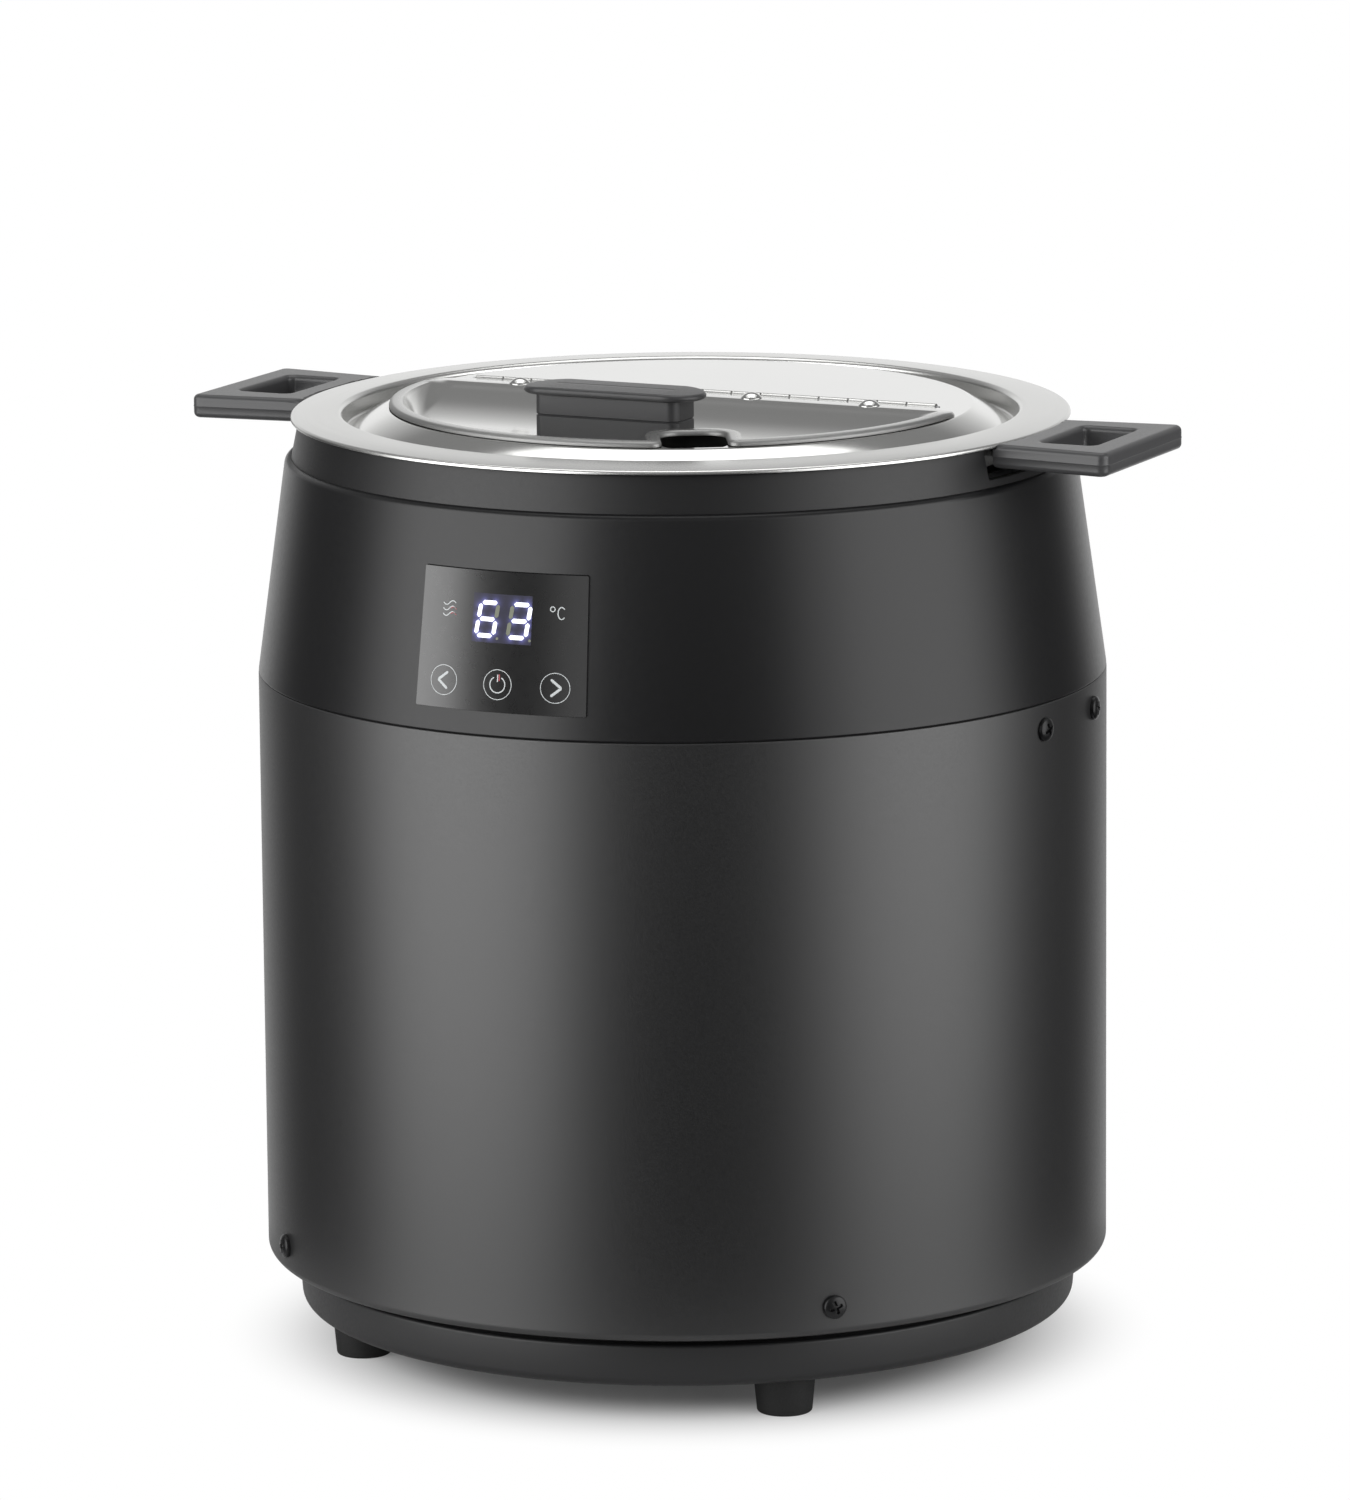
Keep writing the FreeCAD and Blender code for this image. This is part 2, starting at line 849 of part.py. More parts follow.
def hinge_leaf(first, bore, plate_low, side):
    """Leaf with its knuckles, in front of the pin (side -1) or behind it (side +1)."""
    inner = knuckle_radius + leaf_relief
    plate_y = hinge_y + inner if side > 0 else hinge_y - inner - leaf_width
    leaf = Part.makeBox(2 * hinge_half_length, leaf_width, leaf_sheet,
                        vec(-hinge_half_length, plate_y, plate_low))
    tab_y = hinge_y if side > 0 else hinge_y - inner
    for start, length in knuckle_spans(first):
        tab = Part.makeBox(length, inner, leaf_sheet, vec(start, tab_y, plate_low))
        knuckle = Part.makeCylinder(knuckle_radius, length, vec(start, hinge_y, hinge_z), vec(1, 0, 0))
        leaf = leaf.fuse([tab, knuckle])
    left_end = vec(-hinge_half_length, hinge_y, hinge_z)
    hole = Part.makeCylinder(bore, 2 * hinge_half_length, left_end, vec(1, 0, 0))
    return leaf.cut(hole).removeSplitter()


def hinge_rear_leaf():
    return hinge_leaf(0, hinge_pin_radius, lid_top, 1)


def hinge_front_leaf():
    leaf = hinge_leaf(1, hinge_pin_radius + hinge_running_gap, front_leaf_top - leaf_sheet, -1)
    return cut_all(leaf, rivet_holes())


def hinge_pin():
    ends = 2 * hinge_half_length + 2 * hinge_pin_overhang
    return Part.makeCylinder(hinge_pin_radius, ends,
                             vec(-ends / 2, hinge_y, hinge_z), vec(1, 0, 0))


def rivet_places():
    first = -(rivet_count - 1) / 2 * rivet_spacing
    return [vec(first + index * rivet_spacing, hinge_y - rivet_setback, 0) for index in range(rivet_count)]


def rivet_holes():
    return [Part.makeCylinder(rivet_shank, 2 * flap_top, place) for place in rivet_places()]


def flap_rivets():
    one = turned([
        (0, flap_top - lid_sheet - leaf_sheet, 0),
        (rivet_shank, flap_top - lid_sheet - leaf_sheet, 0),
        (rivet_shank, flap_top, 0),
        (rivet_radius, flap_top, 0),
        (rivet_crown_radius, flap_top + rivet_height, 0),
        (0, flap_top + rivet_height, 0),
    ])
    return group([one.translated(place) for place in rivet_places()])


def notch_prism(grow, bottom, height):
    """Ladle notch as a block with rounded back corners, grown all round by a distance."""
    width = notch_width + 2 * grow
    depth = 2 * notch_depth
    block = rounded_plate(width, depth + 2 * grow, notch_corner + grow, bottom, height, (0, -flap_radius))
    block.rotate(ORIGIN, UP, notch_angle)
    return block


def flap_blank(inset, straight, top):
    """Flap's outline, inset from the rim and open at the notch, filled from its lower edge to a height."""
    face = Part.Face(d_wire(flap_radius - inset, straight, flap_corner - inset, flap_bottom))
    blank = face.extrude(UP * (top - flap_bottom))
    blank = blank.cut(notch_prism(inset, flap_bottom, flap_top))
    mouth = [edge for edge in blank.Edges if mouth_edge(edge, flap_radius - inset)]
    blank = blank.makeFillet(notch_mouth_round, mouth)
    return blank.makeFillet(flap_edge_round - inset, level_edges(blank, top))


def mouth_edge(edge, radius):
    """True for an upright edge on the rim where the notch opens."""
    box = edge.BoundBox
    upright_edge = box.XLength < Part.Precision.confusion() and box.YLength < Part.Precision.confusion()
    if not upright_edge:
        return False
    across = abs(edge.CenterOfMass.dot(outward(notch_angle + 90)))
    return across < notch_width and edge.CenterOfMass.dot(outward(notch_angle)) > radius - notch_corner


def dish(grow):
    """Bowl pressed into the flap: outlines that shrink towards its flat floor."""
    strip = flap_straight - dish_strip
    floor_straight = hinge_y - dish_floor_setback
    sections = []
    for share, fall in dish_steps:
        radius = dish_rim_radius + (dish_floor_radius - dish_rim_radius) * share + grow
        straight = strip + (floor_straight - strip) * share + grow
        sections.append(d_wire(radius, straight, dish_corner + grow, flap_top - dish_depth * fall - grow))
    sections[0].translate(UP * grow)
    return upright(Part.makeLoft(sections, True, False))


def lid_flap():
    wall = flap_blank(0, flap_straight, flap_top)
    wall = wall.cut(flap_blank(lid_sheet, flap_straight + flap_corner, flap_top - lid_sheet))
    bowl_outside = dish(lid_sheet).cut(notch_prism(flap_rim_width - lid_sheet, 0, flap_top))
    bowl_inside = dish(0).cut(notch_prism(flap_rim_width, 0, flap_top))
    shape = wall.fuse(bowl_outside).cut(bowl_inside)
    return cut_all(shape, rivet_holes())


def knob_base():
    block = rounded_plate(knob_length, knob_width, knob_corner, dish_floor, knob_seam_rise, (0, knob_y))
    return block.makeChamfer(knob_seam_chamfer, level_edges(block, dish_floor + knob_seam_rise))


def knob_grip():
    bottom = dish_floor + knob_seam_rise
    block = rounded_plate(knob_length, knob_width, knob_corner, bottom, knob_grip_height, (0, knob_y))
    block = block.makeChamfer(knob_seam_chamfer, level_edges(block, bottom))
    cap_bottom = bottom + knob_grip_height
    cap_top = cap_bottom + cap_thickness
    cap_corner = cap_width / 2 - assembly_gap
    cap = rounded_plate(cap_length, cap_width, cap_corner, cap_bottom, cap_thickness, (0, knob_y))
    dome = Part.makeSphere(cap_dome_radius, vec(0, knob_y, cap_top - cap_dome_radius))
    cap = cap.makeFillet(cap_edge_round, level_edges(cap, cap_bottom)).common(dome)
    return block.fuse(cap).removeSplitter()


def write(name, shape):
    shape.exportStep("parts/" + name + ".step")


def main():
    os.makedirs("parts", exist_ok=True)
    write("body_shell", body_shell())
    write("base_pan", base_pan())
    for name, angle in foot_angles.items():
        write(name, foot(angle))
    write("upper_collar", upper_collar())
    write("neck_ring", neck_ring())
    write("heating_well", heating_well())
    write("heat_spreader", heat_spreader())
    write("heating_element", heating_element())
    write("element_clamp", element_clamp())
    write("clamp_bolt", clamp_bolt())
    write("temperature_probe", temperature_probe())
    write("thermal_cutout", thermal_cutout())
    write("insulation_sleeve", insulation_sleeve())
    write("control_panel", control_panel())
    write("panel_carrier", panel_carrier())
    write("control_board", control_board())
    write("display_module", display_module())
    write("touch_pads", touch_pads())
    write("power_board", power_board())
    write("board_spacers", board_spacers())
    write("board_transformer", on_board(transformer_size, transformer_x))
    write("power_relay", on_board(relay_size, relay_x))
    write("terminal_block", terminal_block())
    write("cable_gland", cable_gland())
    write("gland_nut", gland_nut())
    write("soup_pot", soup_pot())
    for name, side in (("right", 1), ("left", -1)):
        write("handle_bracket_" + name, on_side(right_bracket(), side))
        write("pot_handle_" + name, on_side(right_handle(), side))
    write("lid_plate", lid_plate())
    write("hinge_rear_leaf", hinge_rear_leaf())
    write("hinge_pin", hinge_pin())
    write("hinge_front_leaf", hinge_front_leaf())
    write("lid_flap", lid_flap())
    write("flap_rivets", flap_rivets())
    write("knob_base", knob_base())
    write("knob_grip", knob_grip())


main()
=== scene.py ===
"""Looks of an electric soup kettle: its surfaces, finishes, studio and camera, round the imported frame."""

import json
import logging
import math
from dataclasses import dataclass
from enum import Enum

import bpy
import numpy as np
from mathutils import Euler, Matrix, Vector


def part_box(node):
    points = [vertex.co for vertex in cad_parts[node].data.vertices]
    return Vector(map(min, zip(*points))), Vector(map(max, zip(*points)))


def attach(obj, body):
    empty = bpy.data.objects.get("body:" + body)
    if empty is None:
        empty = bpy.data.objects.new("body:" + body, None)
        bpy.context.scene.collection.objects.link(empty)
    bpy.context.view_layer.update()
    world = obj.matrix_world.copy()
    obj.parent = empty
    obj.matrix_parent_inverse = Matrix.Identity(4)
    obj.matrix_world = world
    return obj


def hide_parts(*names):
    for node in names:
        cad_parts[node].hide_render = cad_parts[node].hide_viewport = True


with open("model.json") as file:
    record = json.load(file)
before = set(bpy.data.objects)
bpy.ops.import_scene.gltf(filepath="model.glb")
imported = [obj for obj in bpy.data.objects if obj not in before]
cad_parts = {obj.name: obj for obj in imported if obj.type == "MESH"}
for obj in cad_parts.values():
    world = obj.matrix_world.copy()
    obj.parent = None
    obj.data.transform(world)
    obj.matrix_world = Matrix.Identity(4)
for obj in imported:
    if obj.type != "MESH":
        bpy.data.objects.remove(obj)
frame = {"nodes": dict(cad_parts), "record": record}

LOG = logging.getLogger("soup_kettle")
MM = 0.001
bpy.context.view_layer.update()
UNTURNED = np.eye(3)
Array = np.ndarray
Node = bpy.types.Node
Tree = bpy.types.NodeTree
Pair = tuple[float, float]
Corner = tuple[float, float, float]


# Surfaces


@dataclass
class Surface:
    """Closed skin in mm: points, four-sided faces and three-sided faces."""

    points: Array
    quads: Array
    tris: Array

    def volume(self) -> float:
        """Signed volume inside the faces, positive where they point outwards."""
        halves = np.concatenate([self.quads[:, [0, 1, 2]], self.quads[:, [0, 2, 3]], self.tris])
        a, b, c = (self.points[halves[:, k]] for k in range(3))
        return float(np.einsum("ij,ij->i", a, np.cross(b, c)).sum() / 6)

    def outward(self) -> "Surface":
        """The same skin with its faces pointing outwards."""
        if self.volume() < 0:
            return Surface(self.points, self.quads[:, ::-1], self.tris[:, ::-1])
        return self

    def moved(self, shift: Array, turn: Array = UNTURNED) -> "Surface":
        """The skin turned by a 3 x 3 matrix and then shifted, in mm."""
        return Surface(self.points @ turn.T + shift, self.quads, self.tris)


def joined(skins: list[Surface]) -> Surface:
    """One surface made of several separate skins."""
    starts = np.cumsum([0] + [len(skin.points) for skin in skins])
    return Surface(
        np.concatenate([skin.points for skin in skins]),
        np.concatenate([skin.quads + start for skin, start in zip(skins, starts)]),
        np.concatenate([skin.tris + start for skin, start in zip(skins, starts)]),
    )


def skin_over(rings: Array, wrap: bool = False) -> Surface:
    """Closed skin over a stack of closed rings, each joined to the next point by point.

    Args:
        rings: points as (rings, points in a ring, 3), in mm.
        wrap: True where the last ring joins the first; otherwise both end rings are closed by a fan.

    Returns:
        The skin, facing outwards.
    """
    rows, cols = rings.shape[:2]
    number = np.arange(rows * cols).reshape(rows, cols)
    right = np.roll(number, -1, axis=1)
    quads = np.stack([number, right, np.roll(right, -1, axis=0), np.roll(number, -1, axis=0)], axis=-1)
    points, tris = rings.reshape(-1, 3), np.zeros((0, 3), int)
    if not wrap:
        quads = quads[:-1]
        first = np.stack([right[0], number[0], np.full(cols, rows * cols)], axis=-1)
        last = np.stack([number[-1], right[-1], np.full(cols, rows * cols + 1)], axis=-1)
        tris = np.concatenate([first, last])
        points = np.concatenate([points, rings[[0, -1]].mean(axis=1)])
    return Surface(points, quads.reshape(-1, 4), tris).outward()


def slab(top: Array, bottom: Array) -> Surface:
    """Closed sheet between two grids of points, (rows, columns, 3), that match point by point."""
    rows, cols = top.shape[:2]
    number = np.arange(rows * cols).reshape(rows, cols)
    upper = np.stack([number[:-1, :-1], number[:-1, 1:], number[1:, 1:], number[1:, :-1]], axis=-1)
    upper = upper.reshape(-1, 4)
    edge = np.concatenate([number[0, :], number[1:, -1], number[-1, -2::-1], number[-2:0:-1, 0]])
    following = np.roll(edge, -1)
    sides = np.stack([following, edge, edge + number.size, following + number.size], axis=-1)
    points = np.concatenate([top.reshape(-1, 3), bottom.reshape(-1, 3)])
    quads = np.concatenate([upper, upper[:, ::-1] + number.size, sides])
    return Surface(points, quads, np.zeros((0, 3), int)).outward()


def rounded(corners: list[Corner], closed: bool = True, steps: int = 8) -> Array:
    """Flat path through corners (a, b, rounding), each rounding an arc that is tangent to both sides.

    Args:
        corners: the path's corners with their radii, in mm; a radius of 0 keeps the corner sharp.
        closed: True where the last corner leads back to the first.
        steps: spans in each arc.

    Returns:
        Points as (n, 2).
    """
    spots = np.array([corner[:2] for corner in corners], float)
    share = np.linspace(0, 1, steps + 1)[:, None]
    runs = []
    for index, (_, _, radius) in enumerate(corners):
        spot = spots[index]
        if radius <= 0 or (not closed and index in (0, len(corners) - 1)):
            runs.append(spot[None])
            continue
        back, ahead = spots[index - 1] - spot, spots[(index + 1) % len(spots)] - spot
        back, ahead = back / np.linalg.norm(back), ahead / np.linalg.norm(ahead)
        half = math.acos(float(np.clip(back @ ahead, -1, 1))) / 2
        middle = (back + ahead) / np.linalg.norm(back + ahead)
        centre = spot + middle * radius / math.sin(half)
        start = spot + back * radius / math.tan(half) - centre
        end = spot + ahead * radius / math.tan(half) - centre
        sweep = math.pi - 2 * half
        bend = np.sin((1 - share) * sweep) * start + np.sin(share * sweep) * end
        runs.append(centre + bend / math.sin(sweep))
    return np.concatenate(runs)


def with_runs(corners: list[Corner], count: int, clear: float = 1.6, gap: float = 0.2) -> list[Corner]:
    """Closed list of corners with more points on its straight runs, at even steps inside each run.

    Args:
        corners: the path's corners with their radii, in mm.
        count: points added on each run.
        clear: distance kept from a corner, as a multiple of its radius.
        gap: distance kept besides.

    Returns:
        The corners with the added points, whose radius is 0.
    """
    longer = []
    for here, there in zip(corners, corners[1:] + corners[:1]):
        start, end = np.array(here[:2]), np.array(there[:2])
        length = float(np.linalg.norm(end - start))
        low, high = (here[2] * clear + gap) / length, 1 - (there[2] * clear + gap) / length
        longer.append(here)
        longer += [(*(start + (end - start) * share), 0.0) for share in np.linspace(low, high, count)]
    return longer


def lathe(profile: Array, steps: int, wrap: bool = True) -> Surface:
    """Surface of revolution: each profile point (radius, height) becomes a ring about the vertical axis.

    Args:
        profile: points as (n, 2), in mm.
        steps: points round the axis.
        wrap: True for a profile that closes on itself, False for one whose ends are closed by flat discs.

    Returns:
        The closed skin.
    """
    angle = np.linspace(0, 2 * math.pi, steps, endpoint=False)
    radius, height = profile[:, :1], np.broadcast_to(profile[:, 1:], (len(profile), steps))
    return skin_over(np.stack([radius * np.cos(angle), radius * np.sin(angle), height], axis=-1), wrap)


def pressed(path: list[Corner], sheet: float, steps: int) -> Surface:
    """Turned sheet between a path and the same path a sheet's thickness to its right, closed on the axis.

    Each corner moves along the mean of its sides' normals, and its rounding grows or shrinks by the sheet.

    Args:
        path: the profile's corners with their radii, from the axis to the sheet's edge, in mm.
        sheet: thickness of the sheet, negative where it lies to the left.
        steps: points round the axis.

    Returns:
        The closed skin.
    """
    spots = np.array([corner[:2] for corner in path], float)
    along = np.diff(spots, axis=0)
    along /= np.linalg.norm(along, axis=1)[:, None]
    normal = np.stack([along[:, 1], -along[:, 0]], axis=-1)
    before = np.concatenate([normal[:1], normal])
    after = np.concatenate([normal, normal[-1:]])
    shift = (before + after) * (sheet / (1 + (before * after).sum(axis=1)))[:, None]
    bend = before[:, 0] * after[:, 1] - before[:, 1] * after[:, 0]
    moved = []
    for (a, b, radius), (da, db), turn in zip(path, shift, bend):
        grown = radius + (sheet if turn > 0 else -sheet)
        moved.append((a + da, b + db, max(grown, 0) if radius else 0))
    return lathe(rounded(list(path) + moved[::-1], closed=False)[1:-1], steps, wrap=False)


def rounded_rectangle(size: Array, corner: float, inset: float, steps: int = 8, least: float = 0.05) -> Array:
    """Outline of a rectangle with rounded corners about the origin, drawn in by an inset.

    Args:
        size: its length and width before the inset, in mm.
        corner: its corners' radius before the inset.
        inset: distance by which it is drawn in.
        steps: spans in each corner.
        least: smallest radius of a corner.

    Returns:
        Points as (n, 2).
    """
    x, y = size[0] / 2 - inset, size[1] / 2 - inset
    radius = max(corner - inset, least)
    return rounded([(-x, -y, radius), (x, -y, radius), (x, y, radius), (-x, y, radius)], steps=steps)


def at_height(outline: Array, z: float) -> Array:
    """Flat outline as a level ring of points."""
    return np.column_stack([outline, np.full(len(outline), z)])


def quarter(radius: float, steps: int = 6) -> list[Pair]:
    """Pairs (draw-in, rise) along a quarter round, from its side to its top."""
    turns = np.linspace(0, math.pi / 2, steps + 1)
    return [(radius * (1 - math.cos(t)), radius * math.sin(t)) for t in turns]


def smooth_step(share: Array) -> Array:
    """Smooth rise from 0 to 1 over a share from 0 to 1, level at both ends."""
    return share**2 * (3 - 2 * share)


def spokes(turns: Array) -> Array:
    """Unit vectors at angles from +X in radians, as (n, 2)."""
    return np.column_stack([np.cos(turns), np.sin(turns)])


def arc(centre: Array | Pair, radius: float, start: float, end: float, count: int) -> Array:
    """Points on an arc about a centre, from one angle to another in radians, without the last."""
    return centre + radius * spokes(np.linspace(start, end, count, endpoint=False))


def run(start: Array | Pair, end: Array | Pair, count: int) -> Array:
    """Points on a straight run, without the last."""
    return np.linspace(start, end, count, endpoint=False)


def ribbon(path: Array, width: float, thickness: float, closed: bool, narrowing: float = 0.95) -> Array:
    """Flat stroke along a path: a thin oblong section carried along it, narrowing at free ends.

    Args:
        path: points as (n, 2), in mm.
        width: width of the stroke.
        thickness: height of the stroke over the face that carries it.
        closed: True where the path is a loop.
        narrowing: how far round its end cap a free end goes, as a share of the half width.

    Returns:
        Rings as (n, 4, 3): two flat coordinates and the height over the face.
    """
    if closed:
        heading = np.roll(path, -1, axis=0) - np.roll(path, 1, axis=0)
        half = np.full(len(path), width / 2)
    else:
        heading = np.gradient(path, axis=0)
        gone = np.concatenate([[0], np.cumsum(np.linalg.norm(np.diff(path, axis=0), axis=1))])
        rest = np.minimum(gone, gone[-1] - gone)
        reach = np.clip(1 - rest / (width / 2), 0, narrowing)
        half = width / 2 * np.sqrt(1 - reach**2)
    heading = heading / np.linalg.norm(heading, axis=1)[:, None]
    sideways = np.stack([-heading[:, 1], heading[:, 0]], axis=-1) * half[:, None]
    edges = ((1, 0.0), (1, thickness), (-1, thickness), (-1, 0.0))
    return np.stack([at_height(path + side * sideways, z) for side, z in edges], axis=1)


@dataclass(frozen=True)
class Span:
    """Box of a node of the frame, in mm."""

    low: Array
    high: Array

    @property
    def centre(self) -> Array:
        """Middle of the box."""
        return (self.low + self.high) / 2

    @property
    def size(self) -> Array:
        """Lengths of the box along X, Y and Z."""
        return self.high - self.low


def span(node: str) -> Span:
    """Box of a CAD node at rest, in mm."""
    low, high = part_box(node)
    return Span(np.array(low) / MM, np.array(high) / MM)


def turn_to(direction: Array) -> Array:
    """Matrix that turns the vertical axis to a direction."""
    ahead = direction / np.linalg.norm(direction)
    helper = np.array([0.0, 0.0, 1.0]) if abs(ahead[2]) < 0.9 else np.array([1.0, 0.0, 0.0])
    side = np.cross(helper, ahead)
    side /= np.linalg.norm(side)
    return np.column_stack([side, np.cross(ahead, side), ahead])


def bearing(angle: float) -> Array:
    """Level direction at an angle in degrees from the front, turning towards +X."""
    turn = math.radians(angle)
    return np.array([math.sin(turn), -math.cos(turn), 0.0])


# Finishes


def linear(colour: str) -> tuple[float, float, float, float]:
    """Linear colour of an sRGB hex value such as #2b2b2c."""
    parts = np.array([int(colour[k : k + 2], 16) for k in (1, 3, 5)]) / 255
    low = parts / 12.92
    high = ((parts + 0.055) / 1.055) ** 2.4
    return (*np.where(parts <= 0.04045, low, high).tolist(), 1.0)


def per_size(size: float) -> float:
    """Noise scale for features of a size in mm, on coordinates in metres."""
    return 1 / (size * MM)


def bare_tree(owner: bpy.types.Material | bpy.types.World) -> Tree:
    """Empty node tree of a material or a world."""
    owner.use_nodes = True
    owner.node_tree.nodes.clear()
    return owner.node_tree


def add(tree: Tree, kind: str, inputs: dict[str | int, object] | None = None, **settings: object) -> Node:
    """Adds a node to a tree.

    Args:
        tree: the node tree.
        kind: the node's type name, without the ShaderNode that it starts with.
        inputs: sockets by name or number: a value, another node's output, or a node for its first output.
        settings: properties of the node itself.

    Returns:
        The new node.
    """
    node = tree.nodes.new("ShaderNode" + kind)
    for name, value in settings.items():
        setattr(node, name, value)
    for name, value in (inputs or {}).items():
        if isinstance(value, Node):
            value = value.outputs[0]
        if isinstance(value, bpy.types.NodeSocket):
            tree.links.new(value, node.inputs[name])
        else:
            node.inputs[name].default_value = value
    return node


class Pattern(Enum):
    """How the marks of a finish run."""

    EVEN = "the same in every direction"
    RINGS = "fine rings about the vertical axis"
    STROKES = "straight strokes along X"


@dataclass(frozen=True)
class Look:
    """A material by name, made the first time it is asked for."""

    name: str

    def shader(self, tree: Tree) -> Node:
        """Adds the look's nodes to a tree and returns the last."""
        raise NotImplementedError

    def material(self) -> bpy.types.Material:
        """The look as a material, made once."""
        made = bpy.data.materials.get(self.name)
        if made is None:
            made = bpy.data.materials.new(self.name)
            tree = bare_tree(made)
            add(tree, "OutputMaterial", {"Surface": self.shader(tree)})
        return made


@dataclass(frozen=True)
class DullWithPaintedShade:
    """Duller look of a finish where a share kept in the mesh says so: rougher, and with a darker tone that is
    painted shade.
    """

    attribute: str
    colour: str
    roughness: float


@dataclass(frozen=True)
class Finish(Look):
    """Surface of one real material: two tones, its range of roughness, and grain, bump and clouds in mm."""

    colour: str
    shade: str
    roughness: Pair
    grain: float
    bump: float
    metallic: float = 0.0
    ior: float = 1.5
    pattern: Pattern = Pattern.EVEN
    cloud: float = 60.0
    painted_shade: DullWithPaintedShade | None = None
    ring_drift: float = 0.01
    stroke_stretch: float = 0.02

    def coordinates(self, tree: Tree) -> bpy.types.NodeSocket:
        """Object coordinates, bent so that the grain follows the pattern."""
        place = add(tree, "TexCoord").outputs["Object"]
        if self.pattern is Pattern.EVEN:
            return place
        if self.pattern is Pattern.STROKES:
            stretch = (self.stroke_stretch, 1.0, 1.0)
            return add(tree, "Mapping", {"Vector": place, "Scale": stretch}).outputs[0]
        parts = add(tree, "SeparateXYZ", {0: place}).outputs
        level = add(tree, "CombineXYZ", {"X": parts["X"], "Y": parts["Y"]})
        radius = add(tree, "VectorMath", {0: level}, operation="LENGTH").outputs["Value"]
        rings = add(tree, "CombineXYZ", {"X": radius, "Y": parts["Z"]})
        drift = add(tree, "VectorMath", {0: place, "Scale": self.ring_drift}, operation="SCALE")
        return add(tree, "VectorMath", {0: rings, 1: drift}).outputs[0]

    def shader(self, tree: Tree) -> Node:
        """Two tones mixed in clouds, roughness and bump from one grain, and the duller look with painted
        shade over them.
        """
        place = add(tree, "TexCoord").outputs["Object"]
        where = self.coordinates(tree)
        grain = add(tree, "TexNoise", {"Vector": where, "Scale": per_size(self.grain), "Detail": 3.0})
        cloud = add(tree, "TexNoise", {"Vector": place, "Scale": per_size(self.cloud), "Detail": 2.0})
        tones = {0: cloud, 6: linear(self.colour), 7: linear(self.shade)}
        colour = add(tree, "Mix", tones, data_type="RGBA").outputs[2]
        low, high = self.roughness
        spread = {"Value": grain, "From Min": 0.3, "From Max": 0.7, "To Min": low, "To Max": high}
        dullness = add(tree, "MapRange", spread)
        relief = add(tree, "Bump", {"Strength": 1.0, "Distance": self.bump * MM, "Height": grain})
        # Painted shade: where the share is, the colour is mixed to a darker grey and the roughness is raised.
        if self.painted_shade is not None:
            share = add(tree, "Attribute", attribute_name=self.painted_shade.attribute).outputs["Fac"]
            tones = {0: share, 6: colour, 7: linear(self.painted_shade.colour)}
            colour = add(tree, "Mix", tones, data_type="RGBA").outputs[2]
            dullness = add(tree, "Mix", {0: share, 2: dullness, 3: self.painted_shade.roughness}, data_type="FLOAT")
        return add(tree, "BsdfPrincipled", {
            "Base Color": colour, "Roughness": dullness, "Normal": relief,
            "Metallic": self.metallic, "IOR": self.ior,
        })


@dataclass(frozen=True)
class LitDisplay(Look):
    """Display plastic, with the glow of its lit segments kept in the mesh as an attribute."""

    dark: str
    glow: str
    strength: float
    roughness: float = 0.2
    attribute: str = "glow"

    def shader(self, tree: Tree) -> Node:
        """Plastic whose colour and light follow the attribute."""
        share = add(tree, "Attribute", attribute_name=self.attribute).outputs["Fac"]
        tones = {0: share, 6: linear(self.dark), 7: linear(self.glow)}
        tone = add(tree, "Mix", tones, data_type="RGBA").outputs[2]
        light = add(tree, "MapRange", {"Value": share, "To Max": self.strength})
        return add(tree, "BsdfPrincipled", {
            "Base Color": tone, "Roughness": self.roughness,
            "Emission Color": tone, "Emission Strength": light,
        })


# Powder coat bakes to a fine even pebble that breaks up its sheen; drawn a little coarser than life.
POWDER_COAT = Finish("black_powder_coat_steel", "#111112", "#0f0f10", (0.37, 0.43), 0.9, 0.008, ior=1.75)
# Sprayed enamel is smoother, so its highlights are tighter and only a slight waviness stays.
ENAMEL = Finish("satin_black_enamel_steel", "#171718", "#151516", (0.30, 0.34), 1.6, 0.002, ior=1.45)
# Dipped base pan: thin black coat with a soft sheen.
PAN_COAT = Finish("black_dipped_steel", "#1c1c1d", "#19191a", (0.40, 0.48), 1.2, 0.006)
# Glass-filled nylon of the neck ring and small housings: black, with a low sheen.
NYLON = Finish("moulded_black_nylon", "#121213", "#0f0f10", (0.38, 0.46), 0.7, 0.006)
# Handles are moulded with a fine spark-eroded grain: grey, with a broad soft shine at low angles.
HANDLE_PLASTIC = Finish("spark_textured_phenolic", "#454546", "#404041", (0.30, 0.36), 0.5, 0.012)
# The knob is darker than the handles and has less grain.
KNOB_PLASTIC = Finish("satin_phenolic", "#39393a", "#333334", (0.34, 0.42), 0.6, 0.004)
# Natural rubber: dark, and dull at every angle.
RUBBER = Finish("black_rubber_feet", "#151515", "#121212", (0.62, 0.74), 0.6, 0.010)
# Drawn stainless with a satin grain in rings, from turning.
SATIN_STEEL = Finish(
    "satin_stainless_steel", "#e0e0de", "#dadad8", (0.25, 0.27), 0.5, 0.0001, 1.0, pattern=Pattern.RINGS
)
# The same steel buffed: near mirror, with a faint haze.
BUFFED_STEEL = Finish("buffed_stainless_steel", "#dddddb", "#d6d6d4", (0.12, 0.14), 1.2, 0.0002, 1.0)
# The flap is buffed on top; its wall, rounded edge and underside are rougher and painted a darker grey, a
# painted shade for their dim reflection.
FLAP_STEEL = Finish(
    "painted_shade_edge_stainless_steel", "#dddddb", "#d6d6d4", (0.12, 0.14), 1.2, 0.0002, 1.0,
    painted_shade=DullWithPaintedShade("wall", "#989897", 0.5),
)
# Zinc-plated fittings, greyer and a little cloudy.
ZINC = Finish("zinc_plated_steel", "#a9aaac", "#9b9c9f", (0.28, 0.40), 1.0, 0.002, 1.0, cloud=8.0)
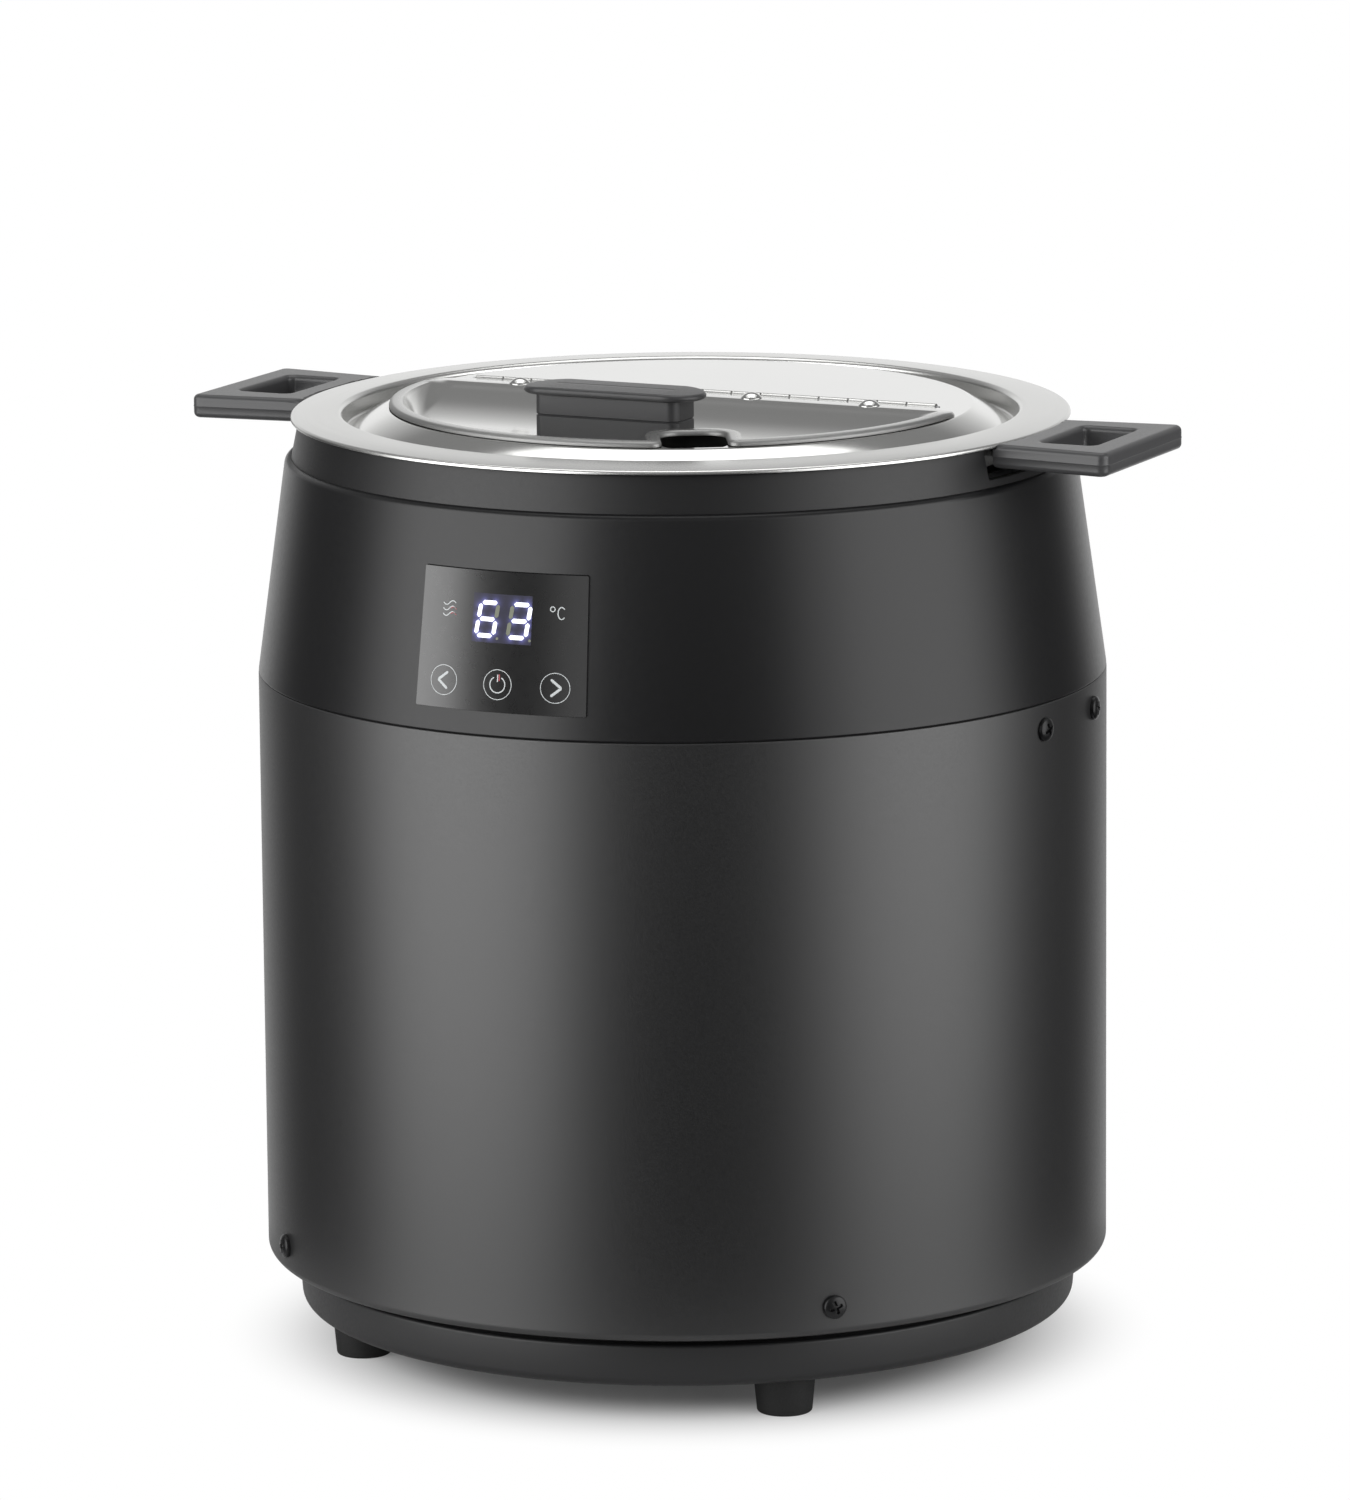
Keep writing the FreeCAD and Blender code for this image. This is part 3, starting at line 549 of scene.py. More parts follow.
# Blackened screws: thin oxide over steel, dark with a dull metal glint.
BLACK_OXIDE = Finish("black_oxide_steel", "#1c1c1d", "#161617", (0.26, 0.36), 0.5, 0.002, 0.4)
# Spun aluminium of the well and heat spreader, with fine rings.
ALUMINIUM = Finish(
    "drawn_aluminium", "#c9cacc", "#bcbdc0", (0.30, 0.42), 0.5, 0.001, 1.0, pattern=Pattern.RINGS
)
# Hard-coated acrylic overlay, printed black behind: dark, with a strong and slightly soft shine.
ACRYLIC = Finish("black_backed_acrylic", "#060607", "#050506", (0.27, 0.29), 3.0, 0.0002, ior=1.7)
# Unlit display segments show as dull olive plastic.
UNLIT = Finish("unlit_segment_plastic", "#6c7060", "#62664f", (0.35, 0.45), 0.8, 0.001)
# Screen-printed ink, slightly raised and dry: pale for the symbols; red for the lit indicators, whose light
# is painted as a flat red with no glow.
INK = Finish("pale_screen_ink", "#c9cdce", "#bfc3c4", (0.45, 0.55), 0.4, 0.001)
RED_PAINTED_LAMP_LIGHT = Finish("red_painted_indicator_light", "#a8323c", "#96303a", (0.40, 0.50), 0.4, 0.001)
# Inner parts: green solder mask, milky nylon and a straw-coloured fibre blanket.
GREEN_BOARD = Finish("solder_masked_board", "#1d5a33", "#19502d", (0.30, 0.45), 1.5, 0.004)
WHITE_PLASTIC = Finish("natural_nylon", "#dedcd4", "#d3d1c8", (0.40, 0.50), 0.8, 0.004)
GLASS_WOOL = Finish(
    "glass_fibre_blanket", "#d8cfae", "#c4b98f", (0.85, 0.95), 2.5, 0.4, pattern=Pattern.STROKES
)
# Smoked cover with a faint blue halo round the digits, and the digits themselves, nearly white.
DISPLAY_COVER = LitDisplay("smoked_display_cover", "#474653", "#7273b4", 0.3)
LIT_SEGMENT = LitDisplay("lit_display_segment", "#4b4a58", "#f0f2ff", 1.05)

NODE_FINISHES = {
    "textured_black_steel": POWDER_COAT,
    "satin_black_steel": ENAMEL,
    "black_steel": PAN_COAT,
    "steel": ZINC,
    "stainless": SATIN_STEEL,
    "polished_stainless": BUFFED_STEEL,
    "aluminium": ALUMINIUM,
    "black_rubber": RUBBER,
    "panel_acrylic": ACRYLIC,
    "display_plastic": ACRYLIC,
    "black_plastic": NYLON,
    "handle_plastic": HANDLE_PLASTIC,
    "knob_plastic": KNOB_PLASTIC,
    "white_plastic": WHITE_PLASTIC,
    "circuit_board": GREEN_BOARD,
    "glass_wool": GLASS_WOOL,
}


@dataclass
class Piece:
    """A visible piece: its skin, its finish, the body it rides on and the nodes it stands for."""

    name: str
    skin: Surface
    finish: Look
    body: str
    slot: str
    replaces: tuple[str, ...] = ()
    crease: float = 38.0
    shares: dict[str, Array] | None = None

    def place(self) -> None:
        """Puts the piece into the scene, at the origin, and ties it to the frame."""
        mesh = bpy.data.meshes.new(self.name)
        faces = self.skin.quads.tolist() + self.skin.tris.tolist()
        mesh.from_pydata((self.skin.points * MM).tolist(), [], faces)
        mesh.polygons.foreach_set("use_smooth", np.ones(len(faces), bool))
        mesh.set_sharp_from_angle(angle=math.radians(self.crease))
        for name, values in (self.shares or {}).items():
            mesh.attributes.new(name, "FLOAT", "POINT").data.foreach_set("value", values.astype(np.float32))
        mesh.update()
        thing = bpy.data.objects.new(self.name, mesh)
        bpy.context.scene.collection.objects.link(thing)
        mesh.materials.append(self.finish.material())
        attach(thing, self.body)
        if self.replaces:
            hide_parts(*self.replaces)
        LOG.info("%s: %d faces on %s", self.name, len(faces), self.body)


# Body


@dataclass
class Housing:
    """Drum, collar, base pan, feet, mains gland and heated well, all turned sheet or mouldings."""

    sheet: float = 1.0
    collar_sheet: float = 1.2
    hem: float = 7.0
    hem_round: float = 3.0
    seam_round: float = 0.7
    collar_lip: float = 2.3
    lip_round: float = 2.5
    tongue_gap: float = 0.1
    shelf_inner: float = 131.0
    pan_draft: float = 1.4
    pan_round: float = 4.0
    pan_inset: float = 11.2
    pan_shadow_gap: float = 3.9
    pan_lip: float = 5.0
    pan_lip_round: float = 1.2
    foot_bottom: float = 9.9
    foot_recess: float = 4.7
    foot_recess_depth: float = 8.0
    foot_edge_round: float = 1.0
    well_round: float = 15.0
    well_flange: float = 9.5
    well_flange_round: float = 0.6
    gland_bore: float = 3.6
    gland_bore_round: float = 0.7
    gland_shank: float = 4.7
    gland_round: float = 0.9
    body: str = "housing"

    def __post_init__(self) -> None:
        """Takes the main radii and heights from the frame."""
        shell, collar = span("body_shell"), span("upper_collar")
        self.radius, self.bottom, self.seam = shell.high[0], shell.low[2], shell.high[2]
        self.tongue, self.shelf = collar.low[2], collar.high[2]
        self.neck = span("neck_ring").high[0]

    def drum(self) -> Surface:
        """Lower shell: a straight wall with its hem turned in below and a rounded edge at the seam."""
        outer = self.radius
        inner = outer - self.sheet
        return lathe(rounded([
            (outer - self.hem, self.bottom, 0),
            (outer, self.bottom, self.hem_round),
            (outer, self.seam, self.seam_round),
            (inner, self.seam, 0),
            (inner, self.bottom + self.sheet, self.hem_round - self.sheet),
            (outer - self.hem, self.bottom + self.sheet, 0),
        ]), steps=256)

    def collar(self) -> Surface:
        """Upper part: a tongue inside the drum, a tapered wall, a rounded lip and a shelf inwards."""
        top = self.neck + self.collar_lip
        inside = self.radius - self.sheet - self.tongue_gap
        wall = self.collar_sheet
        return lathe(rounded([
            (inside, self.tongue, 0),
            (inside, self.seam, 0),
            (self.radius, self.seam, self.seam_round),
            (top, self.shelf, self.lip_round),
            (self.shelf_inner, self.shelf, 0),
            (self.shelf_inner, self.shelf - wall, 0),
            (top - wall, self.shelf - wall, self.lip_round - wall),
            (inside - wall, self.seam + wall, 0),
            (inside - wall, self.tongue, 0),
        ]), steps=256)

    def pan(self) -> Surface:
        """Base pan: a flat floor, a drafted wall, a rounded lip under a gap, and a flange inside the drum."""
        box = span("base_pan")
        wall = self.radius - self.pan_inset
        lip = self.bottom - self.pan_shadow_gap
        flange = self.bottom + self.sheet
        return pressed([
            (0.0, box.low[2], 0),
            (wall - self.pan_draft, box.low[2], self.pan_round),
            (wall, lip, self.pan_lip_round),
            (wall - self.pan_lip, lip, 0),
            (wall - self.pan_lip, flange, 0),
            (box.high[0], flange, 0),
            (box.high[0], box.high[2], 0),
        ], -self.sheet, steps=192)

    def foot(self, node: str) -> Surface:
        """Rubber foot: a tapered plug with rounded lower edges and a recess for its screw."""
        box = span(node)
        profile = rounded([
            (self.foot_recess, self.foot_recess_depth, 0),
            (self.foot_recess, 0, self.foot_edge_round / 2),
            (self.foot_bottom, 0, self.foot_edge_round),
            (box.size[0] / 2, box.high[2], 0),
        ], closed=False)
        return lathe(profile, steps=48, wrap=False).moved(np.array([*box.centre[:2], 0]))

    def gland(self) -> Surface:
        """Mains gland at the back: a shank through the pan and a rounded collar with an open bore."""
        box = span("cable_gland")
        collar = box.high[0]
        wall = span("gland_nut").high[1]
        profile = rounded([
            (self.gland_bore, box.low[1], 0),
            (self.gland_shank, box.low[1], 0),
            (self.gland_shank, wall, 0),
            (collar, wall, 0),
            (collar, box.high[1], self.gland_round),
            (self.gland_bore, box.high[1], self.gland_bore_round),
        ])
        backwards = turn_to(np.array([0.0, 1.0, 0.0]))
        return lathe(profile, steps=48).moved(np.array([0, 0, box.centre[2]]), backwards)

    def well(self) -> Surface:
        """Heated well that the pot hangs in: a rounded floor, a straight wall and a flange on the shelf."""
        box = span("heating_well")
        wall = box.high[0] - self.well_flange
        return pressed([
            (0.0, box.low[2] + self.sheet, 0),
            (wall, box.low[2] + self.sheet, self.well_round),
            (wall, box.high[2], self.well_flange_round),
            (box.high[0], box.high[2], 0),
        ], self.sheet, steps=128)

    def pieces(self) -> list[Piece]:
        """Every piece of the housing."""
        feet = [
            Piece("rubber_" + node, self.foot(node), RUBBER, self.body, "black_rubber", (node,))
            for node in ("foot_front_right", "foot_back_right", "foot_back_left", "foot_front_left")
        ]
        return feet + [
            Piece("drum", self.drum(), POWDER_COAT, self.body, "textured_black_steel", ("body_shell",)),
            Piece("collar", self.collar(), ENAMEL, self.body, "satin_black_steel", ("upper_collar",)),
            Piece("floor_pan", self.pan(), PAN_COAT, self.body, "black_steel", ("base_pan",)),
            Piece("mains_gland", self.gland(), NYLON, self.body, "black_plastic", ("cable_gland",)),
            Piece("warming_well", self.well(), ALUMINIUM, self.body, "aluminium", ("heating_well",)),
        ]


@dataclass
class Screws:
    """Pan-head screws with a cross recess, in the side wall and in the feet."""

    head: float = 4.3
    height: float = 2.3
    rim: float = 0.8
    seat: float = -0.3
    cross_length: float = 2.5
    cross_width: float = 0.62
    cross_depth: float = 1.1
    cross_slopes: Pair = (0.25, 0.4)
    lower_rise: float = 10.5
    lower_angles: tuple[float, ...] = (45.0, 135.0, 225.0, 315.0)
    upper_drop: float = 9.3
    upper_angles: tuple[float, ...] = (81.7, 98.3, 261.7, 278.3)
    wall_turn: float = 0.35
    foot_head: float = 3.9
    foot_height: float = 7.7
    foot_turn: float = 0.2
    rings: int = 40
    inner_ring: float = 0.02
    steps: int = 96
    crease: float = 50.0
    body: str = "housing"

    def one(self, head: float, turn: float) -> Surface:
        """Screw head on the vertical axis: a domed top with a pressed cross, and a short straight rim.

        The dome's height is the rim plus an ellipse over the radius. The cross is where either coordinate is
        within half a slot's width and the other within its length, with sloping sides.
        """
        share = np.linspace(1, self.inner_ring, self.rings)[:, None]
        angle = np.linspace(0, 2 * math.pi, self.steps, endpoint=False)
        radius = share * head
        x, y = radius * np.cos(angle - turn), radius * np.sin(angle - turn)
        dome = self.rim + (self.height - self.rim) * np.sqrt(np.clip(1 - share**2, 0, 1))
        side, end = self.cross_slopes
        slots = [
            np.clip((self.cross_width - np.abs(a)) / side, 0, 1)
            * np.clip((self.cross_length - np.abs(b)) / end, 0, 1)
            for a, b in ((x, y), (y, x))
        ]
        z = dome - self.cross_depth * np.maximum(*slots)
        top = np.stack([radius * np.cos(angle), radius * np.sin(angle), z], axis=-1)
        edge = at_height(top[0, :, :2], self.seat)
        return skin_over(np.concatenate([edge[None], top]))

    def on_wall(self, angles: tuple[float, ...], radius: float, z: float) -> Surface:
        """Screws in a round wall at several angles."""
        return joined([
            self.one(self.head, self.wall_turn + index).moved(out * radius + [0, 0, z], turn_to(out))
            for index, out in enumerate(map(bearing, angles))
        ])

    def in_feet(self) -> Surface:
        """Screws in the recesses of the four feet, heads down."""
        places = [span(node).centre[:2] for node in frame["nodes"] if node.startswith("foot_")]
        down = turn_to(np.array([0.0, 0.0, -1.0]))
        return joined([
            self.one(self.foot_head, self.foot_turn + index).moved(np.array([*place, self.foot_height]), down)
            for index, place in enumerate(places)
        ])

    def pieces(self) -> list[Piece]:
        """Side-wall screws and foot screws."""
        shell = span("body_shell")
        lower = self.on_wall(self.lower_angles, shell.high[0], shell.low[2] + self.lower_rise)
        upper = self.on_wall(self.upper_angles, shell.high[0], shell.high[2] - self.upper_drop)
        rows = (
            ("lower_wall_screws", lower, BLACK_OXIDE, "black_steel"),
            ("upper_wall_screws", upper, BLACK_OXIDE, "black_steel"),
            ("foot_screws", self.in_feet(), ZINC, "steel"),
        )
        return [
            Piece(name, skin, look, self.body, slot, crease=self.crease) for name, skin, look, slot in rows
        ]


# Touch panel


@dataclass
class TouchPanel:
    """Curved overlay on the collar with its display and symbols, laid out flat in mm and wrapped on."""

    width: float = 65.0
    height: float = 49.8
    corner: float = 0.7
    rise: float = 33.2
    sideways: float = 1.0
    sheet: float = 0.8
    bevel: float = 0.25
    flare: float = 11.0
    grid: tuple[int, int] = (26, 41)
    print_lift: float = 0.04
    print_sink: float = 0.005
    window: Pair = (22.9, 17.2)
    window_centre: Pair = (0.5, 8.2)
    window_sink: float = 0.02
    window_grid: tuple[int, int] = (72, 60)
    halo: float = 0.8
    digit_height: float = 13.2
    digit_width: float = 8.4
    digit_pitch: float = 12.4
    digit_slant: float = 8.0
    digit_shift: Pair = (0.5, -0.4)
    segment: float = 1.55
    segment_gap: float = 0.45
    segment_tip: float = 0.42
    segment_rounds: Pair = (0.2, 0.5)
    segment_dim: float = 0.1
    point_radius: float = 0.5
    lit: tuple[str, str] = ("acdefg", "abcdg")
    ring_radius: float = 5.25
    ring_width: float = 0.24
    button_pitch: float = 21.3
    button_height: float = -14.9
    arrow_back: float = 1.6
    arrow_tip: float = 2.2
    arrow_half: float = 3.0
    arrow_round: float = 0.35
    power_radius: float = 2.85
    power_sweep: Pair = (118.0, 422.0)
    power_tick: Pair = (0.9, 3.6)
    stroke: float = 0.9
    thin_stroke: float = 0.4
    fine_stroke: float = 0.34
    waves_centre: Pair = (-20.8, 10.4)
    wave_half: float = 2.6
    wave_swing: float = 0.75
    wave_pitch: float = 1.95
    degree_centre: Pair = (21.6, 11.3)
    degree_ring: Pair = (-2.0, 1.35)
    degree_radius: float = 0.85
    letter_shift: float = 1.3
    letter_halves: Pair = (1.35, 2.1)
    letter_sweep: Pair = (40.0, 320.0)
    letter_stroke: float = 0.36
    lamp_side: float = 0.62
    lamp_tick: Pair = (1.3, 3.7)
    lamp_stroke: float = 0.5
    lamp_shift: Pair = (0.3, -0.25)
    lamp_wave_stroke: float = 0.3
    lamp_wave_start: float = 0.1
    circle_points: int = 64
    wave_points: int = 40
    tick_points: int = 16
    leg_points: int = 12
    body: str = "housing"

    def __post_init__(self) -> None:
        """Takes the cone that the panel lies on from the frame."""
        shell = span("body_shell")
        self.radius, self.seam = shell.high[0], shell.high[2]
        self.rise_total = span("upper_collar").high[2] - self.seam
        self.slope = math.atan2(self.flare, self.rise_total)

    def wrap(self, flat: Array) -> Array:
        """Wraps flat points (across, up the slope, lift) onto the cone.

        The height is the panel's middle plus the way up the slope. The radius there is the cone's plus the
        lift. The angle is the one at which the cone's middle radius stands off the middle plane by the
        distance across, so the sides run along the cone and come together upwards.
        """
        across, up, lift = flat[..., 0] + self.sideways, flat[..., 1], flat[..., 2]
        z = self.seam + self.rise + up * math.cos(self.slope)
        radius = self.radius - self.flare * (z - self.seam) / self.rise_total + lift
        angle = np.arcsin(across / (self.radius - self.flare * self.rise / self.rise_total))
        return np.stack([radius * np.sin(angle), -radius * np.cos(angle), z], axis=-1)

    def sheet_grid(self, inset: float, lift: float) -> Array:
        """Grid over the overlay at a lift, its rows' half widths following the corners' quarter circles."""
        high, wide = self.height / 2 - inset, self.width / 2 - inset
        corner = self.corner - inset
        rows, columns = self.grid
        ends = high - corner + np.array([rise for _, rise in quarter(corner)])
        up = np.concatenate([-ends[::-1], np.linspace(-high + corner, high - corner, rows)[1:-1], ends])
        past = np.clip(np.abs(up) - (high - corner), 0, corner)
        reach = wide - corner + np.sqrt(corner**2 - past**2)
        across = reach[:, None] * np.linspace(-1, 1, columns)
        up = np.broadcast_to(up[:, None], across.shape)
        return self.wrap(np.stack([across, up, np.full(across.shape, lift)], axis=-1))

    def overlay(self) -> Surface:
        """The overlay: a thin cover wrapped on the collar, its face a little smaller than its back."""
        return slab(self.sheet_grid(self.bevel, self.sheet), self.sheet_grid(0, 0))

    def segment_outline(self, name: str) -> Array:
        """Outline of one display segment about the digit's middle: a bar with pointed ends."""
        x, y = self.digit_width / 2 - self.segment / 2, self.digit_height / 2 - self.segment / 2
        spots = {
            "a": ((-x, y), (x, y)),
            "b": ((x, y), (x, 0)),
            "c": ((x, 0), (x, -y)),
            "d": ((-x, -y), (x, -y)),
            "e": ((-x, 0), (-x, -y)),
            "f": ((-x, y), (-x, 0)),
            "g": ((-x, 0), (x, 0)),
        }
        start, end = (np.array(spot) for spot in spots[name])
        along = (end - start) / np.linalg.norm(end - start)
        side = np.array([-along[1], along[0]]) * self.segment / 2
        start, end = start + along * self.segment_gap, end - along * self.segment_gap
        tip = along * self.segment * self.segment_tip
        ring = [start, start + tip + side, end - tip + side, end, end - tip - side, start + tip - side]
        sharp, soft = self.segment_rounds
        radii = (sharp, soft, soft, sharp, soft, soft)
        outline = rounded([(*spot, radius) for spot, radius in zip(ring, radii)], steps=3)
        lean = math.tan(math.radians(self.digit_slant))
        return np.column_stack([outline[:, 0] + lean * outline[:, 1], outline[:, 1]])

    def digit_centres(self) -> list[Array]:
        """Middles of the two digits on the panel."""
        (x, y), (across, up) = self.window_centre, self.digit_shift
        return [np.array([x + side * self.digit_pitch / 2 + across, y + up]) for side in (-1, 1)]

    def plate(self, outline: Array) -> Surface:
        """Thin plate over the display cover, with an outline."""
        base = self.sheet + self.print_lift
        rings = np.stack([at_height(outline, base), at_height(outline, base + self.print_lift)])
        return skin_over(self.wrap(rings))

    def segments(self, lit: bool) -> Surface:
        """The lit segments of both digits, or the unlit ones and the decimal points, as thin plates."""
        plates = []
        for centre, names in zip(self.digit_centres(), self.lit):
            shown = [name for name in "abcdefg" if (name in names) is lit]
            plates += [self.plate(self.segment_outline(name) + centre) for name in shown]
            if not lit:
                corner = centre + [self.digit_width / 2, -self.digit_height / 2]
                plates.append(self.plate(self.circle(corner, self.point_radius)))
        return joined(plates)

    def cover(self) -> tuple[Surface, Array]:
        """Display cover as a fine grid, and its glow: a decay with the distance to the lit segments."""
        columns, rows = (
            np.linspace(middle - size / 2, middle + size / 2, count)
            for size, middle, count in zip(self.window, self.window_centre, self.window_grid)
        )
        flat = np.stack(np.meshgrid(columns, rows, indexing="ij"), axis=-1)
        spots = np.concatenate([
            self.segment_outline(name) + centre
            for centre, names in zip(self.digit_centres(), self.lit)
            for name in names
        ])
        near = np.sqrt(((flat[:, :, None] - spots) ** 2).sum(axis=-1)).min(axis=-1)
        low, high = (
            self.wrap(np.concatenate([flat, np.full((*flat.shape[:2], 1), lift)], axis=-1))
            for lift in (self.sheet - self.window_sink, self.sheet + self.print_lift)
        )
        return slab(high, low), np.tile(np.exp(-near / self.halo).ravel(), 2)

    def stroked(self, path: Array, width: float, closed: bool = False) -> Surface:
        """A printed stroke on the overlay's face."""
        rings = ribbon(path, width, self.print_lift, closed)
        rings[..., 2] += self.sheet - self.print_sink
        return skin_over(self.wrap(rings), wrap=closed)

    def circle(self, centre: Array | Pair, radius: float, start: float = 0, end: float = 360) -> Array:
        """Points on a circle, by angle in degrees from +x; a full circle leaves out its last point."""
        part = end - start < 360
        turns = np.radians(np.linspace(start, end, self.circle_points + part, endpoint=part))
        return centre + radius * spokes(turns)

    def chevron(self, side: int) -> Array:
        """Arrow head in a touch ring that points left (-1) or right (+1), its tip slightly rounded."""
        x, y = side * self.button_pitch, self.button_height
        back, tip = x - side * self.arrow_back, x + side * self.arrow_tip
        half = self.arrow_half
        bent = rounded([(back, y + half, 0), (tip, y, self.arrow_round), (back, y - half, 0)], False, steps=4)
        first, last = (np.linspace(*ends, self.leg_points) for ends in (bent[:2], bent[-2:]))
        return np.concatenate([first, bent[2:-2], last])

    def tick(self, x: float, ends: Pair) -> Array:
        """Upright stroke in the power sign, between two heights over its middle."""
        low, high = ends
        y = self.button_height
        return np.linspace((x, y + low), (x, y + high), self.tick_points)

    def wave(self, share: Array, level: float, shift: Pair = (0.0, 0.0)) -> Array:
        """Heat wave at a level: a sine over the shares of its half length, moved by a shift."""
        x, y = self.waves_centre
        swing = self.wave_swing * np.sin(math.pi * share)
        return np.column_stack([x + shift[0] + self.wave_half * share, y + shift[1] + level + swing])

    def symbols(self) -> Surface:
        """Printed symbols: touch rings, arrows, the power sign, heat waves and the degree sign."""
        middles = [(step * self.button_pitch, self.button_height) for step in (-1, 0, 1)]
        marks = [self.stroked(self.circle(spot, self.ring_radius), self.ring_width, True) for spot in middles]
        marks += [self.stroked(self.chevron(side), self.stroke) for side in (-1, 1)]
        power = self.circle(middles[1], self.power_radius, *self.power_sweep)
        marks += [self.stroked(path, self.thin_stroke) for path in (power, self.tick(0, self.power_tick))]
        share = np.linspace(-1, 1, self.wave_points)
        levels = (-self.wave_pitch, 0, self.wave_pitch)
        marks += [self.stroked(self.wave(share, level), self.fine_stroke) for level in levels]
        (x, y), (across, up) = self.degree_centre, self.degree_ring
        degree = self.circle((x + across, y + up), self.degree_radius)
        marks.append(self.stroked(degree, self.fine_stroke, True))
        letter = self.circle((0, 0), 1, *self.letter_sweep) * self.letter_halves + [x + self.letter_shift, y]
        marks.append(self.stroked(letter, self.letter_stroke))
        return joined(marks)

    def lamps(self) -> Surface:
        """Red light of the indicators beside the power tick and the heat waves, painted as flat red marks
        with no glow.
        """
        share = np.linspace(self.lamp_wave_start, 1, self.wave_points // 2)
        waves = [self.wave(share, level, self.lamp_shift) for level in (-self.wave_pitch, 0)]
        marks = [self.stroked(self.tick(self.lamp_side, self.lamp_tick), self.lamp_stroke)]
        return joined(marks + [self.stroked(path, self.lamp_wave_stroke) for path in waves])

    def pieces(self) -> list[Piece]:
        """The overlay and everything on its face."""
        cover, glow = self.cover()
        lit = self.segments(True)
        plates = lit.points.reshape(sum(map(len, self.lit)), -1, 3)
        off = np.linalg.norm(plates - plates.mean(axis=1, keepdims=True), axis=-1)
        lit_share = (1 - self.segment_dim * (off / off.max()) ** 2).ravel()
        return [
            Piece("touch_overlay", self.overlay(), ACRYLIC, self.body, "panel_acrylic", ("control_panel",)),
            Piece("display_cover", cover, DISPLAY_COVER, self.body, "display_plastic", shares={"glow": glow}),
            Piece("display_lit", lit, LIT_SEGMENT, self.body, "display_plastic", shares={"glow": lit_share}),
            Piece("display_unlit", self.segments(False), UNLIT, self.body, "display_plastic"),
            Piece("panel_symbols", self.symbols(), INK, self.body, "white_plastic"),
            Piece("panel_lamps", self.lamps(), RED_PAINTED_LAMP_LIGHT, self.body, "white_plastic"),
        ]


# Pot


